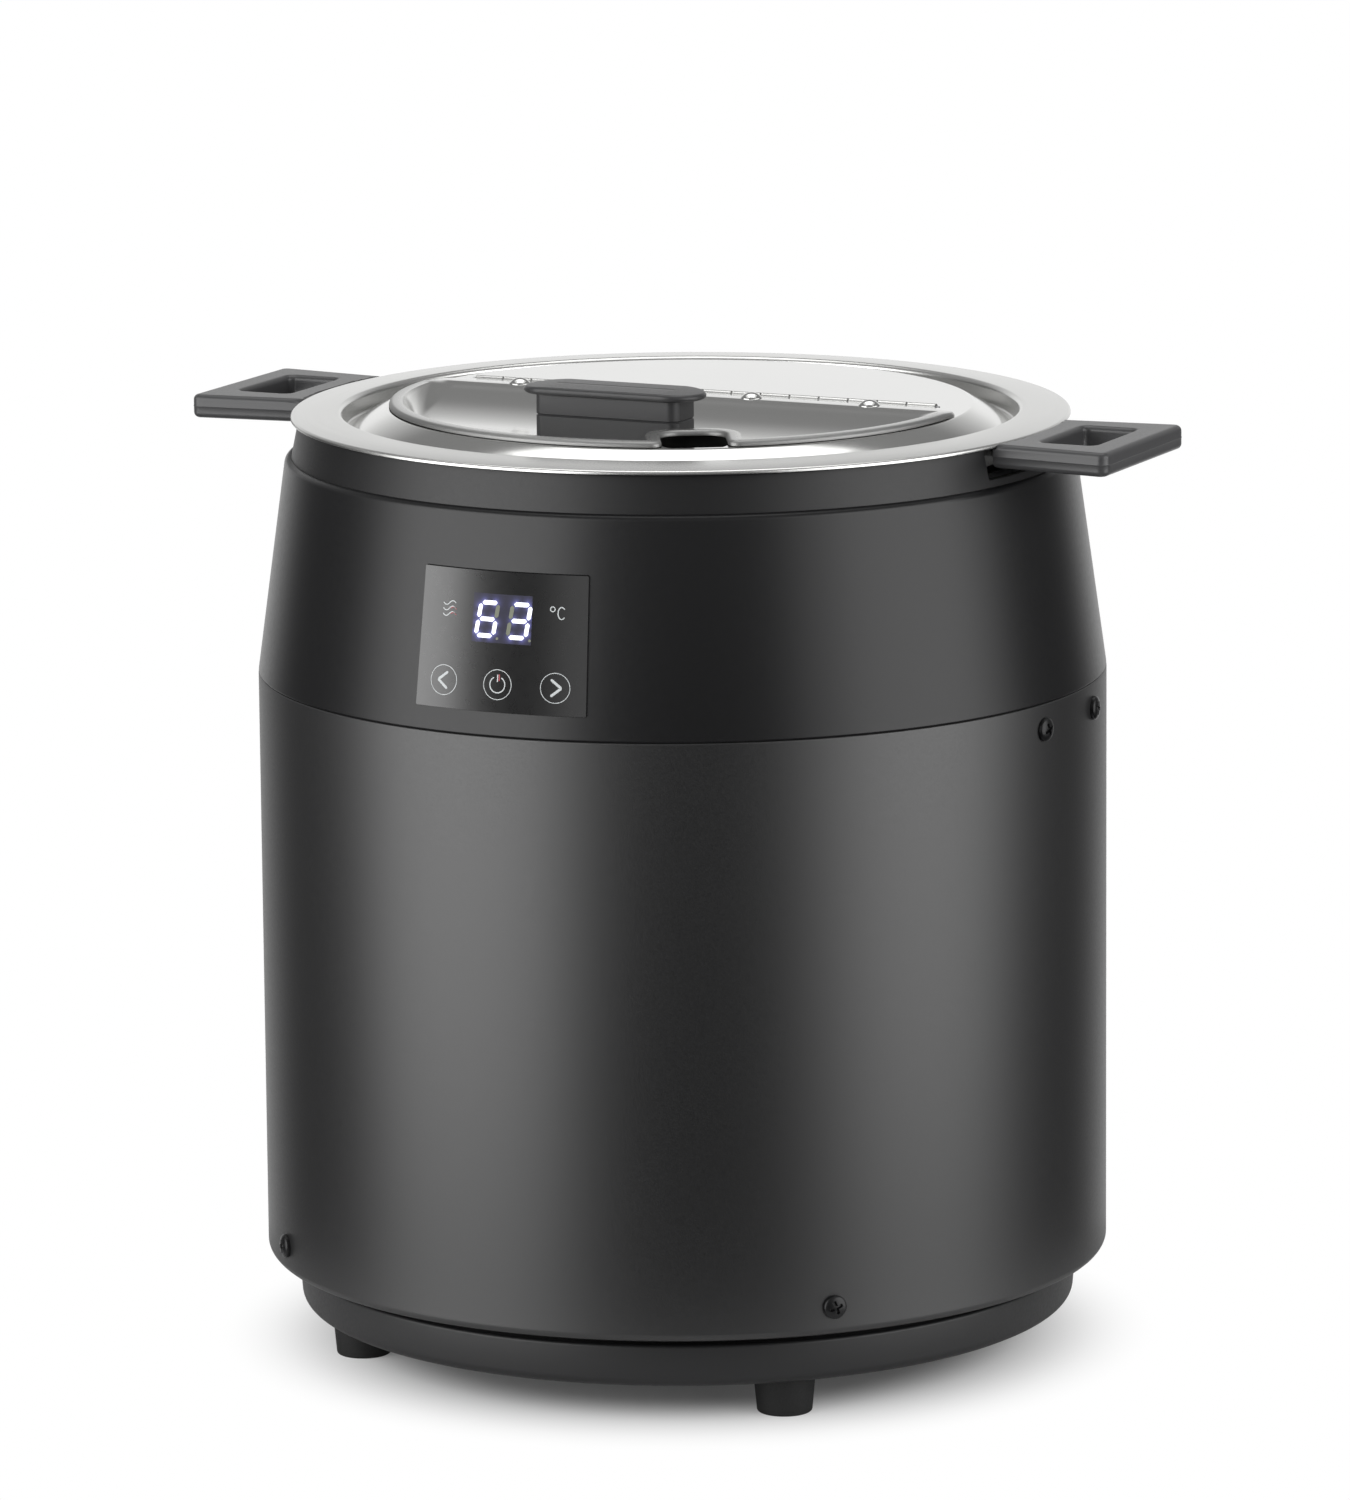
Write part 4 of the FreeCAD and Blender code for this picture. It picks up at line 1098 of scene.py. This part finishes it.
@dataclass
class SoupPot:
    """Drawn pot with its wide flange, and the two loop handles."""

    sheet: float = 1.0
    wall: float = 118.0
    mouth: float = 123.0
    ledge_depth: float = 7.9
    ledge_rounds: Pair = (0.8, 1.2)
    floor_round: float = 18.0
    mouth_round: float = 2.0
    lid_sink: float = 0.2
    flange_slope: float = 0.06
    edge_round: float = 1.1
    edge_drop: float = 1.3
    handle_outer: float = 74.0
    handle_root: float = 64.0
    handle_corner: float = 3.5
    handle_sharp: float = 0.3
    handle_round: float = 2.0
    handle_gap: float = 0.4
    finger: Pair = (20.0, 40.0)
    finger_corner: float = 2.5
    finger_bar: float = 12.0
    run_points: int = 12
    top_spans: int = 13
    mould_line: float = 0.16
    mould_half: float = 0.3
    body: str = "pot"

    def __post_init__(self) -> None:
        """Takes the flange's height and reach from the frame."""
        self.top = span("lid_plate").high[2] + self.lid_sink
        self.reach = span("soup_pot").high[0]
        self.rim = self.top - self.flange_slope * (self.reach - self.mouth)
        self.edge = self.rim - self.edge_drop

    def pot(self) -> Surface:
        """The pot: floor, wall, a ledge for the lid, the mouth and a flange with a turned-down edge."""
        floor = span("soup_pot").low[2] + self.sheet
        ledge = self.top - self.ledge_depth
        below, above = self.ledge_rounds
        return pressed([
            (0.0, floor, 0),
            (self.wall, floor, self.floor_round),
            (self.wall, ledge, below),
            (self.mouth, ledge, above),
            (self.mouth, self.top, self.mouth_round),
            (self.reach, self.rim, self.edge_round),
            (self.reach, self.edge, 0),
        ], self.sheet, steps=256)

    def handle(self, side: int) -> Surface:
        """Loop handle: a section carried round its finger hole.

        Each level ring follows the outer outline at some inset or the hole's outline at some outset. The
        rings climb the outside with rounded edges and a fine mould line, cross the top and come down in the
        hole. Points under the pot's turned-down edge are held below it, which makes the root's rebate.
        """
        box = span("pot_handle_right")
        edge, line = quarter(self.handle_round), self.mould_line
        low, high = box.low[2] + self.handle_round, box.high[2] - self.handle_round
        middle = (box.low[2] + box.high[2]) / 2
        outer = [(line + inset, low - rise) for inset, rise in edge[::-1]]
        outer += [(line, middle - self.mould_half), (0.0, middle), (line, middle + self.mould_half)]
        outer += [(line + inset, high + rise) for inset, rise in edge]
        hole = [(outset, high + rise) for outset, rise in edge[::-1]]
        hole += [(outset, low - rise) for outset, rise in edge]
        rings = [at_height(self.handle_outline(box, inset), z) for inset, z in outer]
        inner = [at_height(self.finger_outline(box, outset), z) for outset, z in hole]
        shares = np.linspace(0, 1, self.top_spans + 1)[1:-1]
        rings += [rings[-1] * (1 - share) + inner[0] * share for share in shares]
        points = np.stack(rings + inner)
        under = np.hypot(points[..., 0], points[..., 1]) < self.reach + self.handle_gap
        held = np.minimum(points[..., 2], self.edge - self.handle_gap)
        points[..., 2] = np.where(under, held, points[..., 2])
        return skin_over(points, wrap=True).moved(np.zeros(3), np.diag([side, side, 1.0]))

    def loop(self, start: Corner, end: Corner) -> Array:
        """Four-sided outline from its two ends, each its place along X, its half width and its rounding."""
        (x, y, radius), (far_x, far_y, far_radius) = start, end
        return rounded(with_runs([
            (x, -y, radius), (far_x, -far_y, far_radius), (far_x, far_y, far_radius), (x, y, radius)
        ], self.run_points))

    def handle_outline(self, box: Span, inset: float) -> Array:
        """Outside of the right handle, wider at its free end, drawn in by an inset."""
        near, far = self.handle_root / 2 - inset, self.handle_outer / 2 - inset
        corner = max(self.handle_corner - inset, self.handle_sharp)
        return self.loop((box.low[0] + inset, near, self.handle_sharp), (box.high[0] - inset, far, corner))

    def finger_outline(self, box: Span, outset: float) -> Array:
        """Finger hole of the right handle, grown by an outset."""
        length, width = self.finger
        end, half, corner = box.high[0] - self.finger_bar, width / 2 + outset, self.finger_corner + outset
        return self.loop((end - length - outset, half, corner), (end + outset, half, corner))

    def pieces(self) -> list[Piece]:
        """The pot and its handles."""
        right, left = self.handle(1), self.handle(-1)
        return [
            Piece("drawn_pot", self.pot(), SATIN_STEEL, self.body, "stainless", ("soup_pot",)),
            Piece("right_handle", right, HANDLE_PLASTIC, self.body, "handle_plastic", ("pot_handle_right",)),
            Piece("left_handle", left, HANDLE_PLASTIC, self.body, "handle_plastic", ("pot_handle_left",)),
        ]


# Lid


def back_corners(radius: float, straight: float, corner: float) -> tuple[Array, Array, float]:
    """Corners where a round outline about the origin meets a straight back edge.

    Args:
        radius: radius of the round part.
        straight: distance of the back edge from the origin, along +Y.
        corner: radius of the corners.

    Returns:
        The centres of the right and the left corner, and the right one's angle from +X.
    """
    x, y = math.sqrt((radius - corner) ** 2 - (straight - corner) ** 2), straight - corner
    return np.array([x, y]), np.array([-x, y]), math.atan2(y, x)


@dataclass
class LidPlate:
    """Round lid plate with a long rounded shoulder and a large opening under the flap."""

    sheet: float = 0.8
    raised: float = 1.4
    shoulder_width: float = 13.5
    shoulder_slope: float = 0.445
    shoulder_drop: float = 2.6
    shoulder_rings: int = 24
    flat_shares: tuple[float, ...] = (0.4, 0.8, 0.985)
    opening_radius: float = 101.0
    opening_straight: float = 6.0
    opening_corner: float = 10.0
    opening_counts: tuple[int, int, int] = (64, 16, 480)
    opening_middle: Pair = (0.0, -20.0)
    notch_angle: float = 28.3
    notch_half: float = 12.0
    notch_soft: float = 3.0
    notch_reach: float = 3.6
    body: str = "lid"

    def __post_init__(self) -> None:
        """Takes the plate's height from the frame; its middle is pressed up a little over the rim."""
        self.top = span("lid_plate").high[2] + self.raised

    def opening(self) -> Array:
        """Outline of the opening: a half round whose radius grows where the ladle's notch is over it.

        The growth is the notch's reach times a smooth step of the distance to the notch's middle line.
        """
        corner = self.opening_corner
        right, left, heading = back_corners(self.opening_radius, self.opening_straight, corner)
        edge, bend, sweep = self.opening_counts
        outline = np.concatenate([
            run(right + [0, corner], left + [0, corner], edge),
            arc(left, corner, math.pi / 2, math.pi - heading, bend),
            arc((0, 0), self.opening_radius, math.pi - heading, 2 * math.pi + heading, sweep),
            arc(right, corner, heading, math.pi / 2, bend),
        ])
        along = bearing(self.notch_angle)[:2]
        off = np.abs(outline @ np.array([-along[1], along[0]]))
        near = np.clip((self.notch_half - off) / self.notch_soft, 0, 1) * (outline @ along > 0)
        return outline * (1 + self.notch_reach * smooth_step(near) / self.opening_radius)[:, None]

    def shoulder(self, inset: float) -> list[Pair]:
        """Pairs (radius, height) down the outside, at an inset: a cone's slope plus a quarter ellipse, and a
        straight foot."""
        box = span("lid_plate")
        turns = np.linspace(0, math.pi / 2, self.shoulder_rings)
        out, level = np.sin(turns), np.cos(turns)
        radius = box.high[0] - self.shoulder_width + (self.shoulder_width - inset) * out
        height = self.top - self.shoulder_slope * self.shoulder_width * out - self.shoulder_drop * (1 - level)
        return [*zip(radius, height - inset * level), (box.high[0] - inset, box.low[2])]

    def plate(self) -> Surface:
        """The plate: rings from the opening's edge over the flat to the round shoulder, and back inside."""
        opening = self.opening()
        x, y = (opening - self.opening_middle).T
        rim = spokes(np.arctan2(y, x))
        outside, inside = self.shoulder(0), self.shoulder(self.sheet)
        flat = outside[0][0]
        rings = [opening * (1 - share) + rim * flat * share for share in (0, *self.flat_shares)]
        rings = [at_height(ring, self.top) for ring in rings]
        rings += [at_height(rim * radius, z) for radius, z in outside + inside[::-1]]
        rings.append(at_height(opening, self.top - self.sheet))
        return skin_over(np.stack(rings), wrap=True)

    def pieces(self) -> list[Piece]:
        """The plate alone; the hinge's leaves and pin stay as the frame has them."""
        return [Piece("round_lid_plate", self.plate(), BUFFED_STEEL, self.body, "stainless", ("lid_plate",))]


@dataclass
class Flap:
    """Dished front flap with a raised rim and a ladle notch, its rivets and its two-part knob."""

    sheet: float = 0.8
    corner: float = 12.0
    corner_least: float = 1.0
    edge_round: float = 1.6
    # Shares of the duller look and its painted shade on the rings where the rim turns over onto the dish.
    edge_painted_shade: tuple[float, ...] = (0.7, 0.5, 0.3)
    rim: float = 5.0
    lid_gap: float = 0.3
    dish_wall: float = 7.0
    dish_strip: float = 8.8
    dish_run: float = 52.0
    dish_turn: float = 3.0
    wall_rings: int = 12
    floor_rings: int = 32
    floor_least: float = 0.03
    outline_counts: tuple[int, ...] = (60, 16, 170, 70)
    spine_y: float = -2.0
    spine_shares: tuple[float, ...] = (0, 0.15, 0.19, 0.615, 0.66, 0.74, 0.785, 0.96, 1)
    spine_places: tuple[float, ...] = (70, -70, -70, -30, -29, 51, 52, 70, 70)
    strip_clear: float = 6.0
    strip_drop: float = 0.55
    hinge_gap: float = 1.2
    notch_angle: float = 28.3
    notch_width: float = 23.5
    notch_corner: float = 8.0
    notch_depth: float = 27.0
    notch_counts: tuple[int, int, int] = (10, 8, 12)
    mouth_round: float = 4.0
    mouth_least: float = 0.3
    rivet: float = 4.0
    rivet_count: int = 4
    rivet_rings: int = 14
    rivet_inner: float = 0.04
    rivet_height: float = 2.1
    rivet_root: float = -0.9
    rivet_forward: float = 3.2
    knob_corner: float = 4.0
    knob_chamfer: float = 0.45
    knob_sharp: float = 0.05
    cap_thickness: float = 3.7
    cap_overlap: float = 0.3
    cap_round: float = 1.2
    cap_margin: float = 0.6
    cap_crown: float = 420.0
    cap_rings: int = 9
    cap_steps: int = 14
    body: str = "flap"

    def __post_init__(self) -> None:
        """Takes the flap's radius, straight edge and heights from the frame."""
        box = span("lid_flap")
        self.radius, self.straight, self.top = box.high - [0, self.hinge_gap, 0]
        self.bottom = LidPlate().top + self.lid_gap
        self.floor = box.low[2] + self.sheet

    def notch(self, inset: float) -> tuple[Array, float, float]:
        """The ladle's notch where the flap's outline is drawn in by an inset.

        It is worked out along its own axis and across it: two mouth arcs tangent to the rim and the notch's
        sides, two back corners, and straight runs between.

        Args:
            inset: distance by which the outline is drawn in.

        Returns:
            Points as (n, 2), and the angles from +X at which the mouth starts and ends on the rim.
        """
        half = self.notch_width / 2 + inset
        back = self.radius - self.notch_depth - inset
        bend, mouth = self.notch_corner + inset, max(self.mouth_round - inset, self.mouth_least)
        out = math.sqrt((self.radius - inset - mouth) ** 2 - (half + mouth) ** 2)
        opening = math.atan2(half + mouth, out)
        mouth_points, side_points, bend_points = self.notch_counts
        path = np.concatenate([
            arc((out, -half - mouth), mouth, -opening, math.pi / 2, mouth_points),
            run((out, -half), (back + bend, -half), side_points),
            arc((back + bend, -half + bend), bend, 1.5 * math.pi, math.pi, bend_points),
            run((back, -half + bend), (back, half - bend), side_points),
            arc((back + bend, half - bend), bend, math.pi, math.pi / 2, bend_points),
            run((back + bend, half), (out, half), side_points),
            arc((out, half + mouth), mouth, -math.pi / 2, opening, mouth_points),
        ])
        middle = math.radians(self.notch_angle) - math.pi / 2
        along = np.array([math.cos(middle), math.sin(middle)])
        across = np.array([-along[1], along[0]])
        return path[:, :1] * along + path[:, 1:] * across, middle - opening, middle + opening

    def outline(self, inset: float) -> Array:
        """Outline of the flap drawn in by an inset: straight back, two corners, the round rim and the notch.

        Every inset gives the same number of points.
        """
        radius, corner = self.radius - inset, max(self.corner - inset, self.corner_least)
        right, left, heading = back_corners(radius, self.straight - inset, corner)
        notch, start, end = self.notch(inset)
        edge, bend, before, after = self.outline_counts
        return np.concatenate([
            run(right + [0, corner], left + [0, corner], edge),
            arc(left, corner, math.pi / 2, math.pi - heading, bend),
            arc((0, 0), radius, math.pi - heading, start + 2 * math.pi, before),
            notch,
            arc((0, 0), radius, end, heading, after),
            arc(right, corner, heading, math.pi / 2, bend),
        ])

    def spine(self, count: int) -> Array:
        """Points on a line across the dish that its rings shrink to.

        Each point of a ring, by its share of the way round, has its own place on the line. The notch's two
        sides go far apart on it, so that no ring folds over the next one at the notch.

        Args:
            count: number of points of a ring.

        Returns:
            Points as (count, 2).
        """
        x = np.interp(np.arange(count) / count, self.spine_shares, self.spine_places)
        return np.column_stack([x, np.full(count, self.spine_y)])

    def dish_rings(self, sink: float, grow: float) -> list[Array]:
        """Rings of the dish from its edge on the rim down to its spine.

        The edge follows the flap's outline inside the rim, with a wider strip along the hinge. The height is
        the rim's less the dish's depth times two shares, each a parabola. One grows with the distance from
        the hinge strip, so the floor rises gently towards the hinge; the other grows with the distance from
        the rim, so the wall round the front is short.

        Args:
            sink: distance under the upper side.
            grow: distance by which the edge is moved out.

        Returns:
            Rings from the rim inwards, each as (n, 3).
        """
        edge = self.straight - self.dish_strip + grow
        rings = []
        for step in np.linspace(0, 1, self.wall_rings):
            ring = self.outline(self.rim - grow + self.dish_wall * step)
            ring[:, 1] = np.minimum(ring[:, 1], edge - self.dish_turn * step)
            rings.append((ring, 1 - (1 - step) ** 2))
        last = rings[-1][0]
        spine = self.spine(len(last))
        shrinking = np.linspace(1, self.floor_least, self.floor_rings)[1:]
        rings += [(spine + (last - spine) * share, 1.0) for share in shrinking]
        depth = self.top - self.floor
        placed = []
        for ring, wall in rings:
            rise = 1 - np.clip((edge - ring[:, 1]) / self.dish_run, 0, 1)
            placed.append(np.column_stack([ring, self.top - sink - depth * wall * (1 - rise**2)]))
        return placed

    def strip_fall(self, y: Array) -> Array:
        """Fall of the strip under the hinge's barrel: a smooth step with the distance to the hinge."""
        share = np.clip((y - self.straight + 2 * self.dish_strip) / self.dish_strip, 0, 1)
        return self.strip_drop * smooth_step(share)

    def rim_rings(self, inset: float) -> list[Array]:
        """Rings of the rim at an inset into the sheet, from the wall's foot up over the rounded edge."""
        rounding = self.edge_round - inset
        rings = [at_height(self.outline(inset), self.bottom)]
        for draw, rise in quarter(rounding):
            rings.append(at_height(self.outline(inset + draw), self.top - inset - rounding + rise))
        return rings

    def flap(self) -> tuple[Surface, Array]:
        """The flap as one pressed sheet: rings from under its middle out to the rim, and down the dish again.

        Returns:
            The skin, and each point's share of the duller look with its painted shade, on the wall, the rim
            and the underside.
        """
        wall = self.rim_rings(0)
        lower = self.rim_rings(self.sheet) + self.dish_rings(self.sheet, self.sheet / 2)
        rings = np.stack(lower[::-1] + wall + self.dish_rings(0, 0))
        rings[..., 2] -= self.strip_fall(rings[..., 1])
        edge = len(lower) + len(wall)
        # Painted shade: the wall, the rim's edge and the underside get a darker grey, which fades out towards
        # the hinge strip.
        dull = np.zeros(len(rings))
        dull[:edge] = 1
        dull[edge - 2 : edge + 1] = self.edge_painted_shade
        clear = np.clip((self.straight - self.strip_clear - rings[..., 1]) / self.strip_clear, 0, 1)
        return skin_over(rings), np.concatenate([(dull[:, None] * clear).ravel(), [1.0, 0.0]])

    def rivets(self) -> Surface:
        """Dome rivets along the hinge: each a cap of a ball on the flap's strip."""
        box = span("flap_rivets")
        places = np.linspace(box.low[0] + self.rivet, box.high[0] - self.rivet, self.rivet_count)
        ball = (self.rivet**2 + self.rivet_height**2) / (2 * self.rivet_height)
        radius = np.linspace(1, self.rivet_inner, self.rivet_rings) * self.rivet
        height = np.sqrt(ball**2 - radius**2) - (ball - self.rivet_height)
        profile = np.concatenate([[[self.rivet, self.rivet_root]], np.column_stack([radius, height])])
        one = lathe(profile, steps=40, wrap=False)
        y, z = box.centre[1] - self.rivet_forward, self.top - self.strip_drop
        return joined([one.moved(np.array([x, y, z])) for x in places])

    def knob_block(self, bottom: float, top: float, low: float, high: float) -> Surface:
        """Upright block of the knob with rounded corners and a chamfer at its lower and its upper end."""
        box = span("knob_base")
        steps = [(low, bottom), (0.0, bottom + low), (0.0, top - high), (high, top)]
        return skin_over(np.stack([
            at_height(rounded_rectangle(box.size, self.knob_corner, inset) + box.centre[:2], z)
            for inset, z in steps
        ]))

    def cap(self) -> Surface:
        """Knob's cap: an oblong with round ends, rounded edges and a slightly crowned top.

        The top falls from its middle by the distance squared over twice the crown's radius.
        """
        box = span("knob_grip")
        half, edge = box.size[1] / 2, quarter(self.cap_round)
        bottom = box.high[2] - self.cap_thickness + self.cap_round
        steps = [(inset, bottom - rise, False) for inset, rise in edge[::-1]]
        steps += [(inset, box.high[2] - self.cap_round + rise, True) for inset, rise in edge]
        insides = np.linspace(self.cap_round + self.cap_margin, half - self.cap_margin, self.cap_rings)
        steps += [(inset, box.high[2], True) for inset in insides]
        rings = []
        for inset, z, crowned in steps:
            flat = rounded_rectangle(box.size, half - self.knob_sharp, inset, self.cap_steps)
            fall = crowned * (flat**2).sum(axis=1) / (2 * self.cap_crown)
            rings.append(np.column_stack([flat + box.centre[:2], z - fall]))
        return skin_over(np.stack(rings))

    def pieces(self) -> list[Piece]:
        """The flap, its rivets and its knob."""
        base, grip = span("knob_base"), span("knob_grip")
        neck = grip.high[2] - self.cap_thickness + self.cap_overlap
        foot = self.knob_block(base.low[2], base.high[2], self.knob_sharp, self.knob_chamfer)
        stem = self.knob_block(grip.low[2], neck, self.knob_chamfer, self.knob_sharp)
        # The share "wall" marks where the flap is duller and painted a darker grey, a painted shade.
        flap, wall = self.flap()
        rows = (
            ("dished_flap", flap, FLAP_STEEL, "polished_stainless", "lid_flap", {"wall": wall}),
            ("dome_rivets", self.rivets(), BUFFED_STEEL, "polished_stainless", "flap_rivets", None),
            ("knob_foot", foot, KNOB_PLASTIC, "knob_plastic", "knob_base", None),
            ("knob_top", joined([stem, self.cap()]), KNOB_PLASTIC, "knob_plastic", "knob_grip", None),
        )
        return [
            Piece(name, skin, look, self.body, slot, (node,), shares=shares)
            for name, skin, look, slot, node, shares in rows
        ]


# Studio


@dataclass(frozen=True)
class FadingFloor(Look):
    """Pale floor that takes the object's shadow near it, and away from it is as white as the surround."""

    colour: str
    lift: float
    fade: Pair

    def shader(self, tree: Tree) -> Node:
        """A dull pale tone, mixed to plain white for the camera with the distance from the middle."""
        place = add(tree, "TexCoord").outputs["Object"]
        away = add(tree, "VectorMath", {0: place}, operation="LENGTH").outputs["Value"]
        near, far = self.fade
        ramp = {"Value": away, "From Min": near, "From Max": far, "To Min": self.lift}
        whiteness = add(tree, "MapRange", ramp, interpolation_type="SMOOTHSTEP")
        seen = add(tree, "LightPath").outputs["Is Camera Ray"]
        share = add(tree, "Math", {0: whiteness, 1: seen}, operation="MULTIPLY")
        pale = add(tree, "BsdfDiffuse", {"Color": linear(self.colour)})
        return add(tree, "MixShader", {0: share, 1: pale, 2: add(tree, "Emission", {"Strength": 1.0})})


# Studio paper: a soft shadow by the feet, and no edge where it meets the white surround.
PAPER = FadingFloor("pale_studio_floor", "#e2e2e2", 0.03, (0.10, 0.175))


class Reach(Enum):
    """What a light falls on, as the state of the panel's glossy faces in its set of receivers."""

    ALL = ""
    OFF_PANEL = "EXCLUDE"
    PANEL_ALONE = "INCLUDE"


@dataclass(frozen=True)
class Softbox:
    """Large soft light: its angle from the camera's side in degrees, place and size in m, and power."""

    name: str
    angle: float
    away: float
    up: float
    size: Pair
    power: float
    reach: Reach = Reach.ALL


# A broad light with a brighter core on each side, two overhead, and two strips for the glossy panel.
SOFTBOXES = (
    Softbox("left_softbox", -60, 2.0, 0.5, (2.6, 2.2), 27, Reach.OFF_PANEL),
    Softbox("left_core", -58, 1.95, 0.5, (1.85, 2.2), 19.5, Reach.OFF_PANEL),
    Softbox("right_softbox", 63, 2.0, 0.5, (2.6, 2.2), 23),
    Softbox("right_core", 64, 1.95, 0.5, (1.5, 2.2), 13),
    Softbox("overhead_softbox", 180, 0.45, 2.35, (1.5, 1.7), 8),
    Softbox("overhead_edge", 180, 0.45, 2.4, (2.5, 1.8), 9.5),
    Softbox("panel_left_strip", -77, 2.0, 0.5, (1.2, 2.2), 33, Reach.PANEL_ALONE),
    Softbox("panel_right_strip", -25, 2.0, 0.5, (0.6, 2.2), 4, Reach.PANEL_ALONE),
)


@dataclass
class Studio:
    """Pale floor, soft lights, white surround and the camera."""

    azimuth: float = 25.5
    pitch: float = 11.03
    distance: float = 3148.1
    height: float = 831.5
    sideways: float = -3.04
    roll: float = -0.5
    focal_pixels: float = 8746.7
    frame_height: float = 1500.0
    sensor: float = 36.0
    clip_end: float = 100.0
    aim_height: float = 0.2
    floor_radius: float = 0.24
    floor_points: int = 96
    ambient: float = 0.3
    ceiling: Pair = (0.05, 0.26)
    ceiling_rise: Pair = (0.05, 0.4)
    behind: Pair = (0.7, 0.98)
    behind_rise: Pair = (0.2, 0.5)

    def direction(self, angle: float) -> Array:
        """Level direction at an angle in degrees from the camera's side, positive to the camera's right."""
        return bearing(self.azimuth + angle)

    def camera(self) -> None:
        """Camera at the viewing angle, with a long lens."""
        lens = bpy.data.cameras.new("camera")
        lens.sensor_width = self.sensor
        lens.lens = self.focal_pixels / self.frame_height * self.sensor
        lens.clip_end = self.clip_end
        eye = bpy.data.objects.new("camera", lens)
        out = self.direction(0)
        side = np.array([-out[1], out[0], 0.0])
        eye.location = (out * self.distance + side * self.sideways + [0, 0, self.height]) * MM
        turn = Euler((math.radians(90 - self.pitch), 0, math.radians(self.azimuth)))
        turn.rotate_axis("Z", math.radians(self.roll))
        eye.rotation_euler = turn
        bpy.context.scene.collection.objects.link(eye)
        bpy.context.scene.camera = eye

    def light(self, box: Softbox) -> bpy.types.Object:
        """A soft light in its place, facing the object."""
        lamp = bpy.data.lights.new(box.name, "AREA")
        lamp.shape = "RECTANGLE"
        lamp.size, lamp.size_y = box.size
        lamp.energy = box.power
        holder = bpy.data.objects.new(box.name, lamp)
        place = self.direction(box.angle) * box.away + [0, 0, box.up]
        holder.location = place
        x, y, z = [0, 0, self.aim_height] - place
        holder.rotation_euler = Euler((math.atan2(math.hypot(x, y), -z), 0, math.atan2(-x, y)))
        bpy.context.scene.collection.objects.link(holder)
        return holder

    def receivers(self, reach: Reach) -> bpy.types.Collection:
        """The panel's glossy faces as a set that a light shines on, or is kept off."""
        made = bpy.data.collections.new(reach.name.lower())
        for piece in ("touch_overlay", "display_cover"):
            made.objects.link(bpy.data.objects[piece])
        for entry in made.collection_objects:
            entry.light_linking.link_state = reach.value
        return made

    def lights(self) -> None:
        """Every soft light, with what it falls on."""
        sets = {reach: self.receivers(reach) for reach in (Reach.OFF_PANEL, Reach.PANEL_ALONE)}
        for box in SOFTBOXES:
            self.light(box).light_linking.receiver_collection = sets.get(box.reach)

    def surround(self) -> None:
        """World: white to the camera, dim to dull surfaces; in reflections white low down behind the object
        and darker elsewhere."""
        world = bpy.data.worlds.new("white_surround")
        tree = bare_tree(world)
        look = add(tree, "TexCoord").outputs["Generated"]
        level = add(tree, "VectorMath", {0: look, 1: (1, 1, 0)}, operation="MULTIPLY")
        heading = add(tree, "VectorMath", {0: level}, operation="NORMALIZE")
        away = {0: heading, 1: tuple(-self.direction(0))}
        behind = add(tree, "VectorMath", away, operation="DOT_PRODUCT").outputs["Value"]
        start, full = self.behind
        ramp = {"Value": behind, "From Min": start, "From Max": full}
        back = add(tree, "MapRange", ramp, interpolation_type="SMOOTHSTEP")
        rise = add(tree, "SeparateXYZ", {0: look}).outputs["Z"]
        start, full = self.behind_rise
        ramp = {"Value": rise, "From Min": start, "From Max": full, "To Min": 1.0, "To Max": 0.0}
        bright = add(tree, "Math", {0: back, 1: add(tree, "MapRange", ramp)}, operation="MULTIPLY")
        (start, full), (dark, pale) = self.ceiling_rise, self.ceiling
        ramp = {"Value": rise, "From Min": start, "From Max": full, "To Min": dark, "To Max": pale}
        mirrored = add(tree, "Mix", {0: bright, 2: add(tree, "MapRange", ramp), 3: 1.0}, data_type="FLOAT")
        path = add(tree, "LightPath").outputs
        seen = path["Is Camera Ray"]
        shown = add(tree, "Math", {0: mirrored, 1: seen}, operation="MAXIMUM")
        kinds = {0: path["Is Glossy Ray"], 1: path["Is Transmission Ray"]}
        shiny = add(tree, "Math", kinds, operation="MAXIMUM")
        direct = add(tree, "Math", {0: seen, 1: shiny}, operation="MAXIMUM")
        strength = add(tree, "Mix", {0: direct, 2: self.ambient, 3: shown}, data_type="FLOAT")
        glow = add(tree, "Background", {"Color": (1, 1, 1, 1), "Strength": strength})
        add(tree, "OutputWorld", {"Surface": glow})
        bpy.context.scene.world = world

    def floor(self) -> None:
        """Round floor under the object, for the picture alone."""
        turns = np.linspace(0, 2 * math.pi, self.floor_points, endpoint=False)
        rim = at_height(spokes(turns) * self.floor_radius, 0.0)
        mesh = bpy.data.meshes.new("floor")
        mesh.from_pydata(rim.tolist(), [], [tuple(range(self.floor_points))])
        mesh.materials.append(PAPER.material())
        ground = bpy.data.objects.new("floor", mesh)
        bpy.context.scene.collection.objects.link(ground)

    def build(self) -> None:
        """Sets up camera, lights, floor and surround."""
        self.camera()
        self.lights()
        self.floor()
        self.surround()
        bpy.context.scene.view_settings.view_transform = "Standard"


def dress_nodes() -> None:
    """Gives every CAD node the finish of its material slot."""
    for entry in frame["record"]["subparts"]:
        finish = NODE_FINISHES[entry["material_slot"]]
        materials = frame["nodes"][entry["node"]].data.materials
        materials.clear()
        materials.append(finish.material())
        LOG.info("%s: finish %s", entry["node"], finish.name)


def main() -> None:
    """Builds every sub-assembly, then the studio."""
    logging.basicConfig(level=logging.INFO, format="%(name)s %(message)s")
    dress_nodes()
    for assembly in (Housing(), Screws(), TouchPanel(), SoupPot(), LidPlate(), Flap()):
        for piece in assembly.pieces():
            piece.place()
    Studio().build()


if __name__ == "__main__":
    main()
